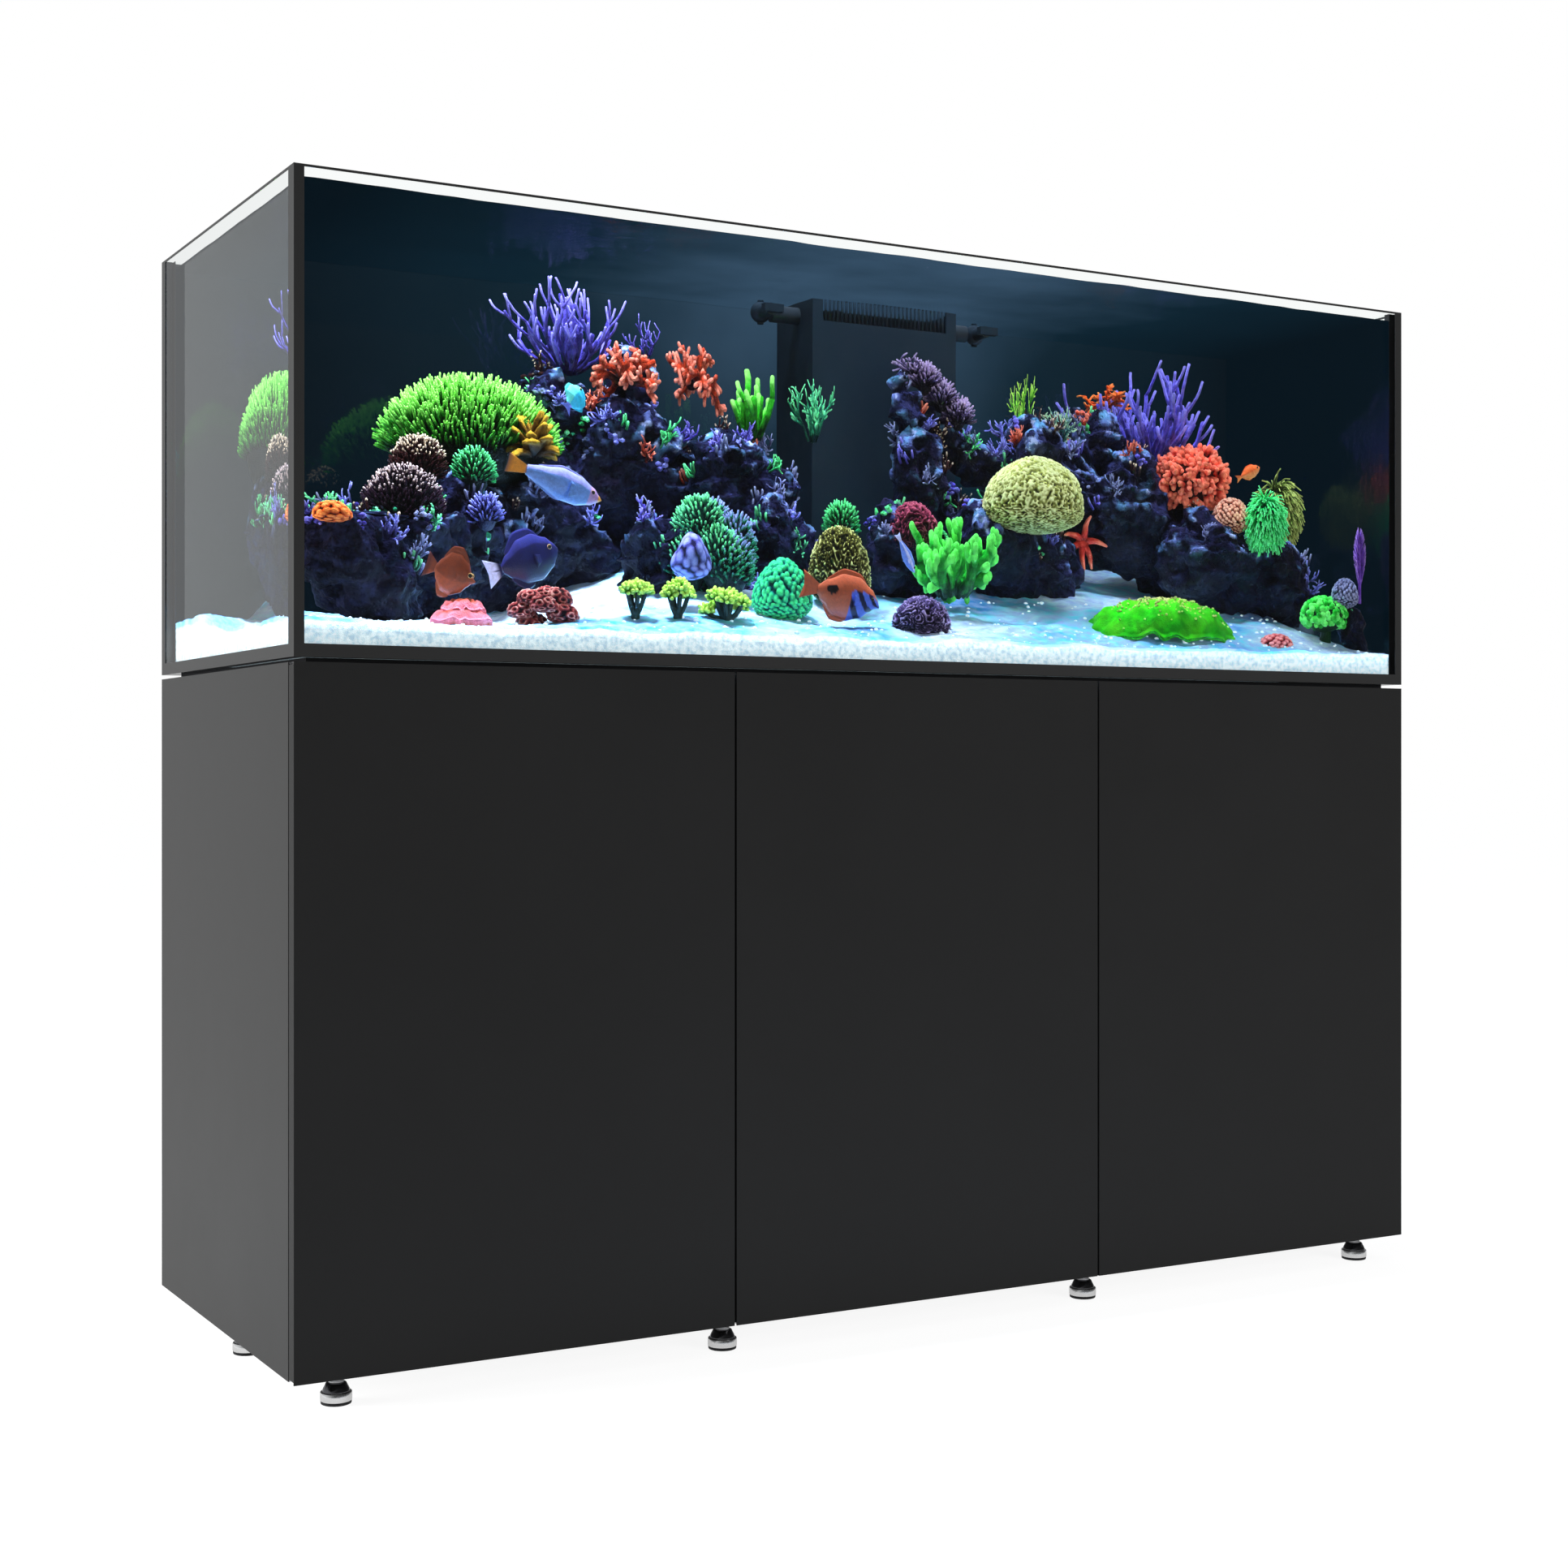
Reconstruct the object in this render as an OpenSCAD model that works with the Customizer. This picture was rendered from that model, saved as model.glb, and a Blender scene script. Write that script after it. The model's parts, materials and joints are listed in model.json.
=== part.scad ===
// Reef aquarium on a three-door cabinet with levelling feet, sump and living contents.
// Millimetres. The origin is on the floor, under the middle of the cabinet.
// +X runs to the right along the front, +Y to the back, +Z up.

/* [Overall] */
// Width of the tank and of the cabinet
body_w = 1800; // [1780:10:1900]
// Depth of the tank and of the cabinet
body_d = 616; // [612:2:640]
// Height of the glass tank
tank_h = 590; // [590:5:640]
// Height of the cabinet without its feet
cab_h = 866; // [860:2:900]
// Height of the feet, from the floor to the base panel
foot_h = 38; // [38:1:45]

/* [Tank] */
// Thickness of the glass panes
glass_t = 12; // [12:1:15]
// Thickness of the black edge profile and of the background film
trim_t = 1; // [0.8:0.1:1.2]
// Width of the edge profile on the front and back faces
post_w = 13; // [10:1:16]
// Width of the edge profile on the side faces, at the front corners
post_side_w = 22; // [18:1:24]
// Height of the black band round the bottom of the tank
band_h = 16; // [15:1:20]
// Height of the dark line round the rim
rim_h = 3; // [2:1:4]
// Thickness of the foam mat between cabinet and tank
mat_t = 6; // [5:1:8]
// How far the mat stays back from the edges
mat_in = 22; // [18:1:26]
// Centre of the overflow box along the width
weir_x = 130; // [120:5:140]
// Width of the overflow box
weir_w = 256; // [250:2:270]
// Depth of the overflow box
weir_d = 155; // [150:1:160]

/* [Cabinet] */
// Thickness of the panels and doors
panel_t = 19; // [18:1:20]
// Gap between the doors, and between a door and the carcass
door_gap = 3; // [3:0.5:4]
// Thickness of the back panel
back_t = 8; // [6:1:10]
// Thickness of the base panel's lip under the side panels
lip_t = 4; // [4:0.5:5]
// Radius of the two hose and cable ports in the back panel
port_r = 30; // [25:1:40]

/* [Door pivots and latches] */
// Distance of the pivot pin from the door's hinge edge
pin_in = 7.5; // [7:0.5:8]
// Distance of the pivot pin behind the door's front face
pin_back = 6; // [6:0.25:6.5]
// Radius of the pivot pins
pin_r = 2.5; // [2:0.25:3]
// Radial clearance of pins, stems and plungers in their bores
fit = 0.05; // [0.02:0.01:0.08]
// Travel of a push latch's plunger
latch_travel = 4; // [3:1:5]

/* [Feet] */
// Radius of a foot's pad
foot_r = 19.5; // [18:0.5:22]
// Radius of a foot's threaded stem
stem_r = 7; // [6:0.5:8]
// Distance of the outer feet from the middle of the cabinet
foot_x = 835; // [820:5:840]
// Distance of the front and back rows from the middle
foot_y = 270; // [260:2:272]

/* [Sump] */
// Width of the sump tank
sump_w = 520; // [500:5:540]
// Height of the sump tank
sump_h = 360; // [340:5:380]
// Thickness of the sump's glass
sump_t = 6; // [5:1:8]
// Outer radius of the drain pipe
drain_r = 20; // [20:1:22]
// Outer radius of the return pipe
return_r = 13; // [12:1:14]
// Height of the two pipe valves above the floor
valve_z = 660; // [650:5:700]

/* [Hidden] */

half_w = body_w / 2;
half_d = body_d / 2;
cab_z = foot_h;
cab_top = foot_h + cab_h;
tank_z = cab_top + mat_t;
rim_z = tank_z + tank_h;
// Faces of the glass box
out_x = half_w - trim_t;
out_y = half_d - trim_t;
in_x = out_x - glass_t;
in_y = out_y - glass_t;
bond_t = 1;
bead = 4;
floor_z = tank_z + glass_t;
smear_w = 10;
smear_t = 0.8;
post_back_w = 18;

// Cabinet planes
side_x = half_w - panel_t;
carcass_y = -half_d + panel_t + door_gap;
carcass_back = half_d - back_t;
shelf_z = cab_z + panel_t;
ceiling_z = cab_top - panel_t;
seam_x = body_w / 6;
door_w = body_w / 3 - door_gap;

// Door pivots, and the steel plates that hold them: [width, depth, height]
outer_pin = half_w - pin_in;
middle_pin = -seam_x + door_gap / 2 + pin_in;
pin_y = -half_d + pin_back;
tab_t = 3;
tab_half = 3.6;
flat_plate = [12, 42, 3];
upright_plate = [12, 3, 17];
pocket_gap = 0.5;
pin_l = 10;

latch_half = 8;
latch_x = [-seam_x - 30, seam_x - 30, seam_x + 30];
latch_z = ceiling_z - latch_half;
plunger_r = 4;
plunger_l = 32.7;
plunger_gap = 0.3;
latch_bore = plunger_l + plunger_gap + latch_travel - door_gap + 2;

// Feet: the two rows and the middle of each side
foot_front = [for (x = [-foot_x, -seam_x, seam_x, foot_x]) [x, -foot_y]];
foot_back = [for (x = [-foot_x, -seam_x, seam_x, foot_x]) [x, foot_y]];
foot_side = [[-half_w + 40, 20], [half_w - 40, 20]];
insert_r = 12;

// Overflow box and its pipes
wall_t = 5;
weir_y = in_y - weir_d;
weir_top = rim_z - 10;
pipe_y = weir_y + 65;
riser_x = weir_x - 60;
drain_x = weir_x + 60;
spout_z = rim_z - 32;
spout_gap = 47;
hole_r = 28;
nut_r = 34;
cut_r = 40;

// Sump
sump_x = sump_w / 2;
sump_front = -200;
sump_back = 250;
sump_top = shelf_z + sump_h;
pump_x = -190;
sock_x = weir_x + 50;
sock_y = 185;
sock_r = 50;
skimmer_x = -27;
skimmer_y = -20;
skimmer_top = 430;
header_z = 590;

glass_tint = [0.75, 0.88, 0.86, 0.35];
charcoal = [0.16, 0.16, 0.165];
black = [0.05, 0.05, 0.055];

// A box between two corners
module span(a, b) {
    translate(a) cube(b - a);
}

// A box that is the same on both sides of the middle plane
module wide(x, y0, y1, z0, z1) {
    span([-x, y0, z0], [x, y1, z1]);
}

// Copies its children to the left and right
module both_sides() {
    children();
    mirror([1, 0, 0]) children();
}

// A tube along +Z
module tube(r, wall, h) {
    difference() {
        cylinder(r = r, h = h, $fn = 48);
        translate([0, 0, -1]) cylinder(r = r - wall, h = h + 2, $fn = 48);
    }
}

/* ---- Tank ---- */

module front_glass() color(glass_tint) wide(out_x, -out_y, -in_y, tank_z, rim_z);

module back_glass() color(glass_tint) wide(out_x, in_y, out_y, tank_z, rim_z);

module side_glass() span([in_x, -in_y + bond_t, tank_z], [out_x, in_y - bond_t, rim_z]);

module right_glass() color(glass_tint) side_glass();

module left_glass() color(glass_tint) mirror([1, 0, 0]) side_glass();

module base_glass() color(glass_tint) difference() {
    wide(in_x - bond_t, -in_y + bond_t, in_y - bond_t, tank_z, floor_z);
    for (x = [riser_x, drain_x])
        translate([x, pipe_y, tank_z - 1]) cylinder(r = hole_r, h = glass_t + 2, $fn = 64);
}

// Black silicone: a bed round the base, a bead above it, and the four upright joints
module silicone_seams() color(black) {
    difference() {
        wide(in_x, -in_y, in_y, tank_z, floor_z + bead);
        wide(in_x - bond_t, -in_y + bond_t, in_y - bond_t, tank_z - 1, floor_z);
        wide(in_x - bead, -in_y + bead, in_y - bead, floor_z - 1, floor_z + bead + 1);
    }
    for (s = [-1, 1]) both_sides() {
        mirror([0, s > 0 ? 1 : 0, 0]) {
            span([in_x, -in_y, tank_z], [out_x, -in_y + bond_t, rim_z - 1]);
            span([in_x - smear_t, -in_y, floor_z + 1], [in_x, -in_y + smear_w, rim_z - 1]);
        }
    }
}

// Black profile that wraps the corners, the foot and the rim of the glass
module edge_trim() color(black) difference() {
    wide(half_w, -half_d, half_d, tank_z, rim_z);
    wide(out_x, -out_y, out_y, tank_z - 1, rim_z + 1);
    wide(half_w - post_w, -half_d - 1, half_d + 1, tank_z + band_h, rim_z - rim_h);
    wide(half_w + 1, -half_d + post_side_w, half_d - post_back_w,
        tank_z + band_h, rim_z - rim_h);
}

module background_film() color([0.01, 0.03, 0.06])
    wide(half_w - post_w, out_y, half_d, tank_z + band_h, rim_z - rim_h);

// Black box against the back pane, open at the bottom, with a low weir in front
module overflow_box() color(black) difference() {
    translate([weir_x, 0, 0])
        wide(weir_w / 2, weir_y, in_y, floor_z + bead + 1, weir_top);
    translate([weir_x, 0, 0])
        wide(weir_w / 2 - wall_t, weir_y + wall_t, in_y + 1, floor_z, weir_top + 1);
    translate([weir_x, 0, 0])
        wide(weir_w / 2 - 18, weir_y - 1, weir_y + wall_t + 1, rim_z - 44, weir_top + 1);
    translate([weir_x - weir_w, pipe_y, spout_z]) rotate([0, 90, 0])
        cylinder(r = return_r + 0.5, h = 2 * weir_w, $fn = 48);
}

module overflow_lid() color(black) difference() {
    translate([weir_x, 0, 0])
        wide(weir_w / 2, weir_y, in_y - 2, weir_top + 0.3, weir_top + 4.3);
    for (s = [-1, 1])
        translate([weir_x + s * 60, weir_y + 30, weir_top]) cylinder(r = 11, h = 6, $fn = 48);
}

// Flanged fitting that seals a pipe in the base glass
module bulkhead(r) {
    difference() {
        union() {
            translate([0, 0, floor_z]) cylinder(r = nut_r, h = 8, $fn = 64);
            translate([0, 0, tank_z - 1]) cylinder(r = hole_r - 0.1, h = glass_t + 2, $fn = 64);
            translate([0, 0, tank_z - 16]) cylinder(r = nut_r, h = 16, $fn = 6);
        }
        translate([0, 0, tank_z - 20]) cylinder(r = r + 0.2, h = 50, $fn = 64);
    }
}

module bulkheads() color([0.2, 0.2, 0.22]) {
    translate([riser_x, pipe_y, 0]) bulkhead(return_r);
    translate([drain_x, pipe_y, 0]) bulkhead(drain_r);
}

// Barrel of a ball valve round a pipe, with a bore for the handle's spindle in front
module valve_barrel() {
    difference() {
        union() {
            translate([0, 0, -32]) cylinder(r = 26, h = 64, $fn = 48);
            rotate([90, 0, 0]) cylinder(r = 12, h = 36, $fn = 48);
        }
        translate([0, -21, 0]) rotate([90, 0, 0]) cylinder(r = 4 + fit, h = 20, $fn = 48);
    }
}

module drain_pipe() color([0.55, 0.56, 0.58]) {
    difference() {
        union() {
            translate([drain_x, pipe_y, 340])
                cylinder(r = drain_r, h = rim_z - 60 - 340, $fn = 48);
            translate([drain_x, pipe_y, valve_z]) valve_barrel();
        }
        translate([drain_x, pipe_y, 339])
            cylinder(r = drain_r - 3, h = rim_z - 340, $fn = 48);
    }
}

module return_pipe() color([0.55, 0.56, 0.58]) {
    translate([pump_x, pipe_y, 152]) cylinder(r = return_r, h = header_z - 152, $fn = 48);
    translate([pump_x, pipe_y, header_z]) sphere(r = return_r + 3, $fn = 48);
    translate([pump_x, pipe_y, header_z]) rotate([0, 90, 0])
        cylinder(r = return_r, h = riser_x - pump_x, $fn = 48);
    translate([riser_x, pipe_y, header_z]) sphere(r = return_r + 3, $fn = 48);
    translate([riser_x, pipe_y, header_z])
        cylinder(r = return_r, h = spout_z - header_z, $fn = 48);
    translate([riser_x, pipe_y, valve_z]) valve_barrel();
    translate([weir_x - weir_w / 2 - spout_gap, pipe_y, spout_z]) rotate([0, 90, 0])
        cylinder(r = return_r, h = weir_w + 2 * spout_gap, $fn = 48);
    translate([riser_x, pipe_y, spout_z]) sphere(r = return_r + 3, $fn = 48);
}

// Ball, upright pin and spout that aim the returned water
module nozzle() {
    sphere(r = 16, $fn = 48);
    translate([0, 0, -18]) cylinder(r = 5, h = 36, $fn = 48);
    rotate([90, 0, 0]) cylinder(r1 = 11, r2 = 9, h = 48, $fn = 48);
    translate([-16, -62, -6]) cube([32, 16, 12]);
}

module nozzle_left() color(black)
    translate([weir_x - weir_w / 2 - spout_gap - 17, pipe_y, spout_z]) nozzle();

module nozzle_right() color(black)
    translate([weir_x + weir_w / 2 + spout_gap + 17, pipe_y, spout_z]) nozzle();

/* ---- Contents ---- */

// Height of the sand above the base glass, from the front to the back
sand_line = [[0, 30], [140, 62], [290, 96], [440, 135], [581, 183]];

module sand_bed() color([0.85, 0.88, 0.9]) difference() {
    translate([-in_x + bead + 0.5, -in_y + bead + 0.5, floor_z]) rotate([90, 0, 90])
        linear_extrude(height = 2 * (in_x - bead - 0.5))
            polygon(concat([[0, 0]], sand_line, [[581, 0]]));
    translate([weir_x, 0, 0])
        wide(weir_w / 2 + 0.5, weir_y - 0.5, in_y, floor_z - 1, rim_z);
}

// One rock, centred at p and of size s
module boulder(p, s) {
    translate(p) hull() {
        for (k = [-1, 1]) {
            translate([k * s[0] / 5, k * s[1] / 8, -k * s[2] / 8])
                scale([s[0] * 0.3, s[1] * 0.38, s[2] * 0.38]) sphere(r = 1, $fn = 10);
        }
    }
}

module rock_left() color([0.14, 0.12, 0.2]) {
    boulder([-775, -130, 1030], [180, 170, 170]);
    boulder([-690, -20, 1075], [260, 220, 190]);
    boulder([-560, 110, 1095], [300, 230, 200]);
    boulder([-420, 160, 1130], [260, 200, 240]);
    boulder([-395, 190, 1270], [150, 110, 170]);
    boulder([-265, 180, 1190], [280, 190, 260]);
    boulder([-270, 205, 1330], [90, 80, 120]);
    boulder([-125, 110, 1180], [190, 160, 200]);
    boulder([-85, 60, 1085], [150, 150, 180]);
    boulder([-255, 20, 1050], [240, 200, 170]);
}

module rock_right() color([0.14, 0.12, 0.2]) {
    boulder([105, 0, 1075], [160, 190, 200]);
    boulder([165, 45, 1180], [140, 130, 210]);
    boulder([130, 50, 1310], [70, 60, 150]);
    boulder([300, 0, 1100], [270, 210, 190]);
    boulder([410, 70, 1210], [240, 150, 220]);
    boulder([530, 120, 1240], [200, 140, 240]);
    boulder([605, 80, 1160], [300, 200, 240]);
    boulder([700, -10, 1090], [270, 210, 200]);
    boulder([800, -30, 1075], [140, 190, 180]);
    boulder([848, -225, 1000], [68, 90, 90]);
}

// Half-round head of radius r and height h
module dome(p, r, h) {
    steps = 8;
    translate(p) rotate_extrude($fn = 40)
        polygon(concat([[0, 0]], [for (i = [0:steps]) [r * cos(90 * i / steps),
            h * sin(90 * i / steps)]]));
}

// Colony of branches, as the cone that its tips fill
module clump(p, r, h) {
    translate(p) cylinder(r1 = r * 0.35, r2 = r, h = h, $fn = 40);
}

module table_coral() color([0.35, 0.8, 0.25])
    translate([-546, 140, 1180]) scale([1.05, 0.9, 1]) dome([0, 0, 0], 128, 140);

module staghorn_corals() color([0.42, 0.36, 0.75]) {
    clump([-395, 190, 1343], 96, 137);
    clump([-266, 200, 1380], 30, 62);
    clump([608, 100, 1256], 128, 190);
}

module branch_corals() color([0.9, 0.3, 0.15]) {
    clump([-484, 60, 1202], 38, 68);
    clump([-312, 130, 1292], 56, 104);
    clump([-195, 140, 1292], 47, 114);
    clump([-111, 120, 1262], 36, 106);
    clump([-28, 88, 1262], 42, 98);
    clump([129, 50, 1374], 24, 34);
    clump([194, 66, 1264], 46, 124);
    clump([352, 80, 1300], 26, 96);
    clump([418, 80, 1290], 36, 62);
    clump([539, 140, 1340], 50, 64);
    clump([653, 15, 1178], 70, 124);
}

module brain_corals() color([0.55, 0.42, 0.4]) {
    dome([-690, -40, 1098], 58, 78);
    dome([-648, 40, 1162], 40, 64);
    dome([-575, 20, 1162], 32, 50);
    dome([-569, -24, 1106], 24, 40);
    dome([-544, -205, 966], 50, 58);
    dome([-298, -128, 1036], 28, 62);
    dome([-236, -40, 1056], 72, 136);
    dome([-174, -175, 978], 45, 90);
    dome([-50, -100, 1010], 50, 117);
    dome([-16, -25, 1118], 28, 50);
    dome([33, -225, 958], 48, 64);
    dome([92, -60, 1088], 46, 85);
    dome([296, -85, 1130], 86, 118);
    dome([679, -245, 955], 32, 33);
    dome([692, -60, 1153], 36, 60);
    dome([822, -245, 1030], 26, 50);
}

module plate_corals() color([0.5, 0.85, 0.2]) {
    translate([488, -180, 962]) scale([1.4, 1, 1]) cylinder(r1 = 40, r2 = 102, h = 76, $fn = 40);
    translate([-668, -245, 954]) cylinder(r1 = 24, r2 = 42, h = 32, $fn = 48);
}

module soft_corals() color([0.4, 0.85, 0.3]) {
    clump([-416, -222, 962], 27, 66);
    clump([-357, -232, 960], 28, 72);
    clump([-282, -232, 960], 42, 62);
    clump([131, -140, 1020], 66, 130);
    clump([742, -100, 1118], 40, 102);
    clump([791, -225, 970], 46, 82);
    clump([812, -25, 1148], 48, 108);
    clump([857, -240, 1040], 12, 108);
}

// A fish body along X: length l, half height r
module fish_body(p, l, r) {
    steps = 10;
    translate(p - [l / 2, 0, 0]) rotate([0, 90, 0]) rotate_extrude($fn = 24)
        polygon(concat([[0, 0]], [for (i = [1:steps - 1]) [r * sin(180 * i / steps),
            l * i / steps]], [[0, l]]));
}

module fish() color([0.9, 0.5, 0.2]) {
    fish_body([-523, -215, 1148], 136, 18);
    fish_body([-474, -130, 1271], 42, 15);
    fish_body([-677, -238, 1022], 66, 24);
    fish_body([-550, -150, 1050], 112, 26);
    fish_body([-100, -238, 1015], 126, 26);
    fish_body([17, -205, 1080], 60, 9);
    fish_body([679, -150, 1244], 52, 9);
}

/* ---- Cabinet ---- */

// Cut-out for the bulkhead nuts
module pipe_cut(z0, z1) {
    span([riser_x - cut_r, pipe_y - cut_r, z0], [drain_x + cut_r, pipe_y + cut_r, z1]);
}

module levelling_mat() color([0.1, 0.1, 0.1]) difference() {
    wide(half_w - mat_in, -half_d + mat_in, half_d - mat_in, cab_top, tank_z);
    pipe_cut(cab_top - 1, tank_z + 1);
}

// Copies its children, made for the left door's top pivot, to one pivot
module at_pivot(x, low) {
    translate([x, pin_y, low ? cab_z : cab_top]) mirror([0, 0, low ? 1 : 0]) children();
}

// Copies its children to the two pivots of each outer door
module outer_pivots() {
    for (x = [-outer_pin, outer_pin]) for (low = [false, true]) at_pivot(x, low) children();
}

// A bracket's plate, or with cut > 0 the seat it lies in
module bracket_plate(plate, cut) {
    translate([-plate[0] / 2, carcass_y - pin_y - cut, -plate[2]])
        cube([plate[0], plate[1] + cut, plate[2] + cut]);
}

// Steel plate let into the carcass, with a tab and a pin that the door turns on
module bracket(plate) {
    translate([-tab_half, 0, -tab_t]) cube([2 * tab_half, carcass_y - pin_y, tab_t]);
    translate([0, 0, -tab_t]) cylinder(r = tab_half, h = tab_t, $fn = 40);
    translate([0, 0, -tab_t - pin_l]) cylinder(r = pin_r, h = pin_l, $fn = 40);
    bracket_plate(plate, 0);
}

// The upright plate under the middle door stays clear of a foot's insert
module hinge_brackets() color([0.7, 0.71, 0.73]) {
    outer_pivots() bracket(flat_plate);
    at_pivot(middle_pin, false) bracket(flat_plate);
    at_pivot(middle_pin, true) bracket(upright_plate);
}

module top_panel() color(charcoal) difference() {
    wide(side_x, carcass_y, carcass_back, ceiling_z, cab_top);
    pipe_cut(ceiling_z - 1, cab_top + 1);
    at_pivot(middle_pin, false) bracket_plate(flat_plate, 1);
}

module base_panel() color(charcoal) difference() {
    union() {
        wide(side_x, carcass_y, carcass_back, cab_z, shelf_z);
        wide(half_w, carcass_y, carcass_back, cab_z, cab_z + lip_t);
    }
    outer_pivots() bracket_plate(flat_plate, 1);
    at_pivot(middle_pin, true) bracket_plate(upright_plate, 1);
    for (p = concat(foot_front, foot_back, foot_side))
        translate([p[0], p[1], cab_z - 1]) cylinder(r = insert_r, h = panel_t + 2, $fn = 48);
}

module side_panel() difference() {
    span([side_x, carcass_y, cab_z + lip_t], [half_w, carcass_back, cab_top]);
    at_pivot(outer_pin, false) bracket_plate(flat_plate, 1);
}

module right_side_panel() color(charcoal) side_panel();

module left_side_panel() color(charcoal) mirror([1, 0, 0]) side_panel();

module back_panel() color(charcoal) difference() {
    wide(half_w, carcass_back, half_d, cab_z, cab_top);
    for (s = [-1, 1])
        translate([s * 600, carcass_back - 1, 700]) rotate([-90, 0, 0])
            cylinder(r = port_r, h = back_t + 2, $fn = 64);
}

// Upright panel centred at x
module wide_at(x) {
    span([x - panel_t / 2, carcass_y, shelf_z], [x + panel_t / 2, carcass_back, ceiling_z]);
}

module divider_left() color(charcoal) wide_at(-seam_x);

module divider_right() color(charcoal) wide_at(seam_x);

// Door with its hinge edge at x = 0 and its free edge at x = door_w
module door_leaf(w) {
    pocket = tab_half + 1;
    difference() {
        span([0, -half_d, cab_z], [w, -half_d + panel_t, cab_top]);
        for (low = [false, true]) at_pivot(pin_in, low) {
            translate([-pin_in - 1, -pocket, -tab_t - pocket_gap])
                cube([pin_in + 1 + pocket, panel_t + 1, tab_t + pocket_gap + 1]);
            translate([0, 0, -tab_t - pin_l - 2])
                cylinder(r = pin_r + fit, h = pin_l + 4, $fn = 40);
        }
    }
}

module door_left() color(charcoal)
    translate([-half_w, 0, 0]) door_leaf(door_w + door_gap / 2);

module door_middle() color(charcoal)
    translate([-seam_x + door_gap / 2, 0, 0]) door_leaf(door_w);

module door_right() color(charcoal)
    translate([half_w, 0, 0]) mirror([1, 0, 0]) door_leaf(door_w + door_gap / 2);

module latch_bodies() color([0.6, 0.6, 0.6]) for (x = latch_x) difference() {
    span([x - latch_half, carcass_y + 0.5, latch_z - latch_half],
        [x + latch_half, carcass_y + 50, latch_z + latch_half]);
    translate([x, carcass_y + latch_bore, latch_z]) rotate([90, 0, 0])
        cylinder(r = plunger_r + fit, h = latch_bore + 4, $fn = 40);
}

module latch_plunger(x) color([0.85, 0.85, 0.85])
    translate([x, -half_d + panel_t + plunger_gap, latch_z]) rotate([-90, 0, 0])
        cylinder(r = plunger_r, h = plunger_l, $fn = 40);

module latch_plunger_left() latch_plunger(latch_x[0]);

module latch_plunger_middle() latch_plunger(latch_x[1]);

module latch_plunger_right() latch_plunger(latch_x[2]);

/* ---- Feet ---- */

// Rubber pad, nickel band, cone and threaded stem, turned as one profile
module foot(p) color([0.75, 0.75, 0.77]) translate([p[0], p[1], 0])
    rotate_extrude($fn = 64) polygon([[0, 0], [foot_r - 1, 0], [foot_r, 1],
        [foot_r, 15], [13.5, 27], [stem_r, 28], [stem_r, foot_h + panel_t - 2],
        [0, foot_h + panel_t - 2]]);

module foot_inserts() color([0.8, 0.8, 0.8])
    for (p = concat(foot_front, foot_back, foot_side)) translate([p[0], p[1], cab_z])
        difference() {
            cylinder(r = insert_r, h = panel_t, $fn = 48);
            translate([0, 0, -1]) cylinder(r = stem_r + fit, h = panel_t + 2, $fn = 48);
        }

/* ---- Sump ---- */

module sump_tank() color(glass_tint) difference() {
    wide(sump_x, sump_front, sump_back, shelf_z, sump_top);
    wide(sump_x - sump_t, sump_front + sump_t, sump_back - sump_t,
        shelf_z + sump_t, sump_top + 1);
}

// Two baffles between the chambers and the shelf that holds the filter sock
module sump_baffles() color([0.85, 0.9, 0.92, 0.6]) {
    for (x = [-120, 60])
        span([x, sump_front + sump_t, shelf_z + sump_t],
            [x + sump_t, sump_back - sump_t, sump_top - 60]);
    difference() {
        span([60 + sump_t, 115, sump_top - 40],
            [sump_x - sump_t, sump_back - sump_t, sump_top - 34]);
        translate([sock_x, sock_y, sump_top - 50]) cylinder(r = sock_r + 3, h = 40, $fn = 64);
    }
}

// Felt bag that hangs from a plastic ring
module filter_sock() color([0.95, 0.95, 0.93]) translate([sock_x, sock_y, 0]) {
    difference() {
        union() {
            translate([0, 0, sump_top - 34]) cylinder(r = sock_r + 8, h = 6, $fn = 64);
            translate([0, 0, 190]) cylinder(r = sock_r + 2, h = sump_top - 190 - 30, $fn = 64);
        }
        translate([0, 0, 194]) cylinder(r = sock_r, h = sump_top, $fn = 64);
    }
}

module skimmer_body() color([0.9, 0.95, 1, 0.6])
    translate([skimmer_x, skimmer_y, shelf_z + sump_t]) rotate_extrude($fn = 64)
        polygon([[0, 0], [78, 0], [78, 8], [68, 8], [68, 240], [42, 300],
            [42, skimmer_top - shelf_z - sump_t], [0, skimmer_top - shelf_z - sump_t]]);

module skimmer_cup() color([0.15, 0.15, 0.16])
    translate([skimmer_x, skimmer_y, skimmer_top + 0.3]) {
        cylinder(r = 62, h = 100, $fn = 64);
        translate([0, 0, 100]) cylinder(r = 66, h = 8, $fn = 64);
        translate([0, 0, 108]) cylinder(r = 12, h = 12, $fn = 48);
    }

module return_pump() color(black) translate([pump_x, pipe_y, 0]) {
    translate([0, -15, shelf_z + sump_t]) cylinder(r = 50, h = 62, $fn = 64);
    translate([0, 0, shelf_z + sump_t]) cylinder(r = 17, h = 152 - shelf_z - sump_t, $fn = 48);
    translate([0, -85, shelf_z + sump_t + 30]) rotate([90, 0, 0])
        cylinder(r = 26, h = 60, center = true, $fn = 48);
}

// Lever on a spindle that turns in a valve barrel
module valve_handle(x) color([0.75, 0.12, 0.1]) translate([x, pipe_y, valve_z]) {
    translate([0, -22, 0]) rotate([90, 0, 0]) cylinder(r = 4, h = 16, $fn = 40);
    translate([0, -36.5, 0]) rotate([90, 0, 0]) cylinder(r = 12, h = 9, $fn = 48);
    span([-7, -45.5, 0], [7, -37.5, 62]);
}

module drain_valve_handle() valve_handle(drain_x);

module return_valve_handle() valve_handle(riser_x);

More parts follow.
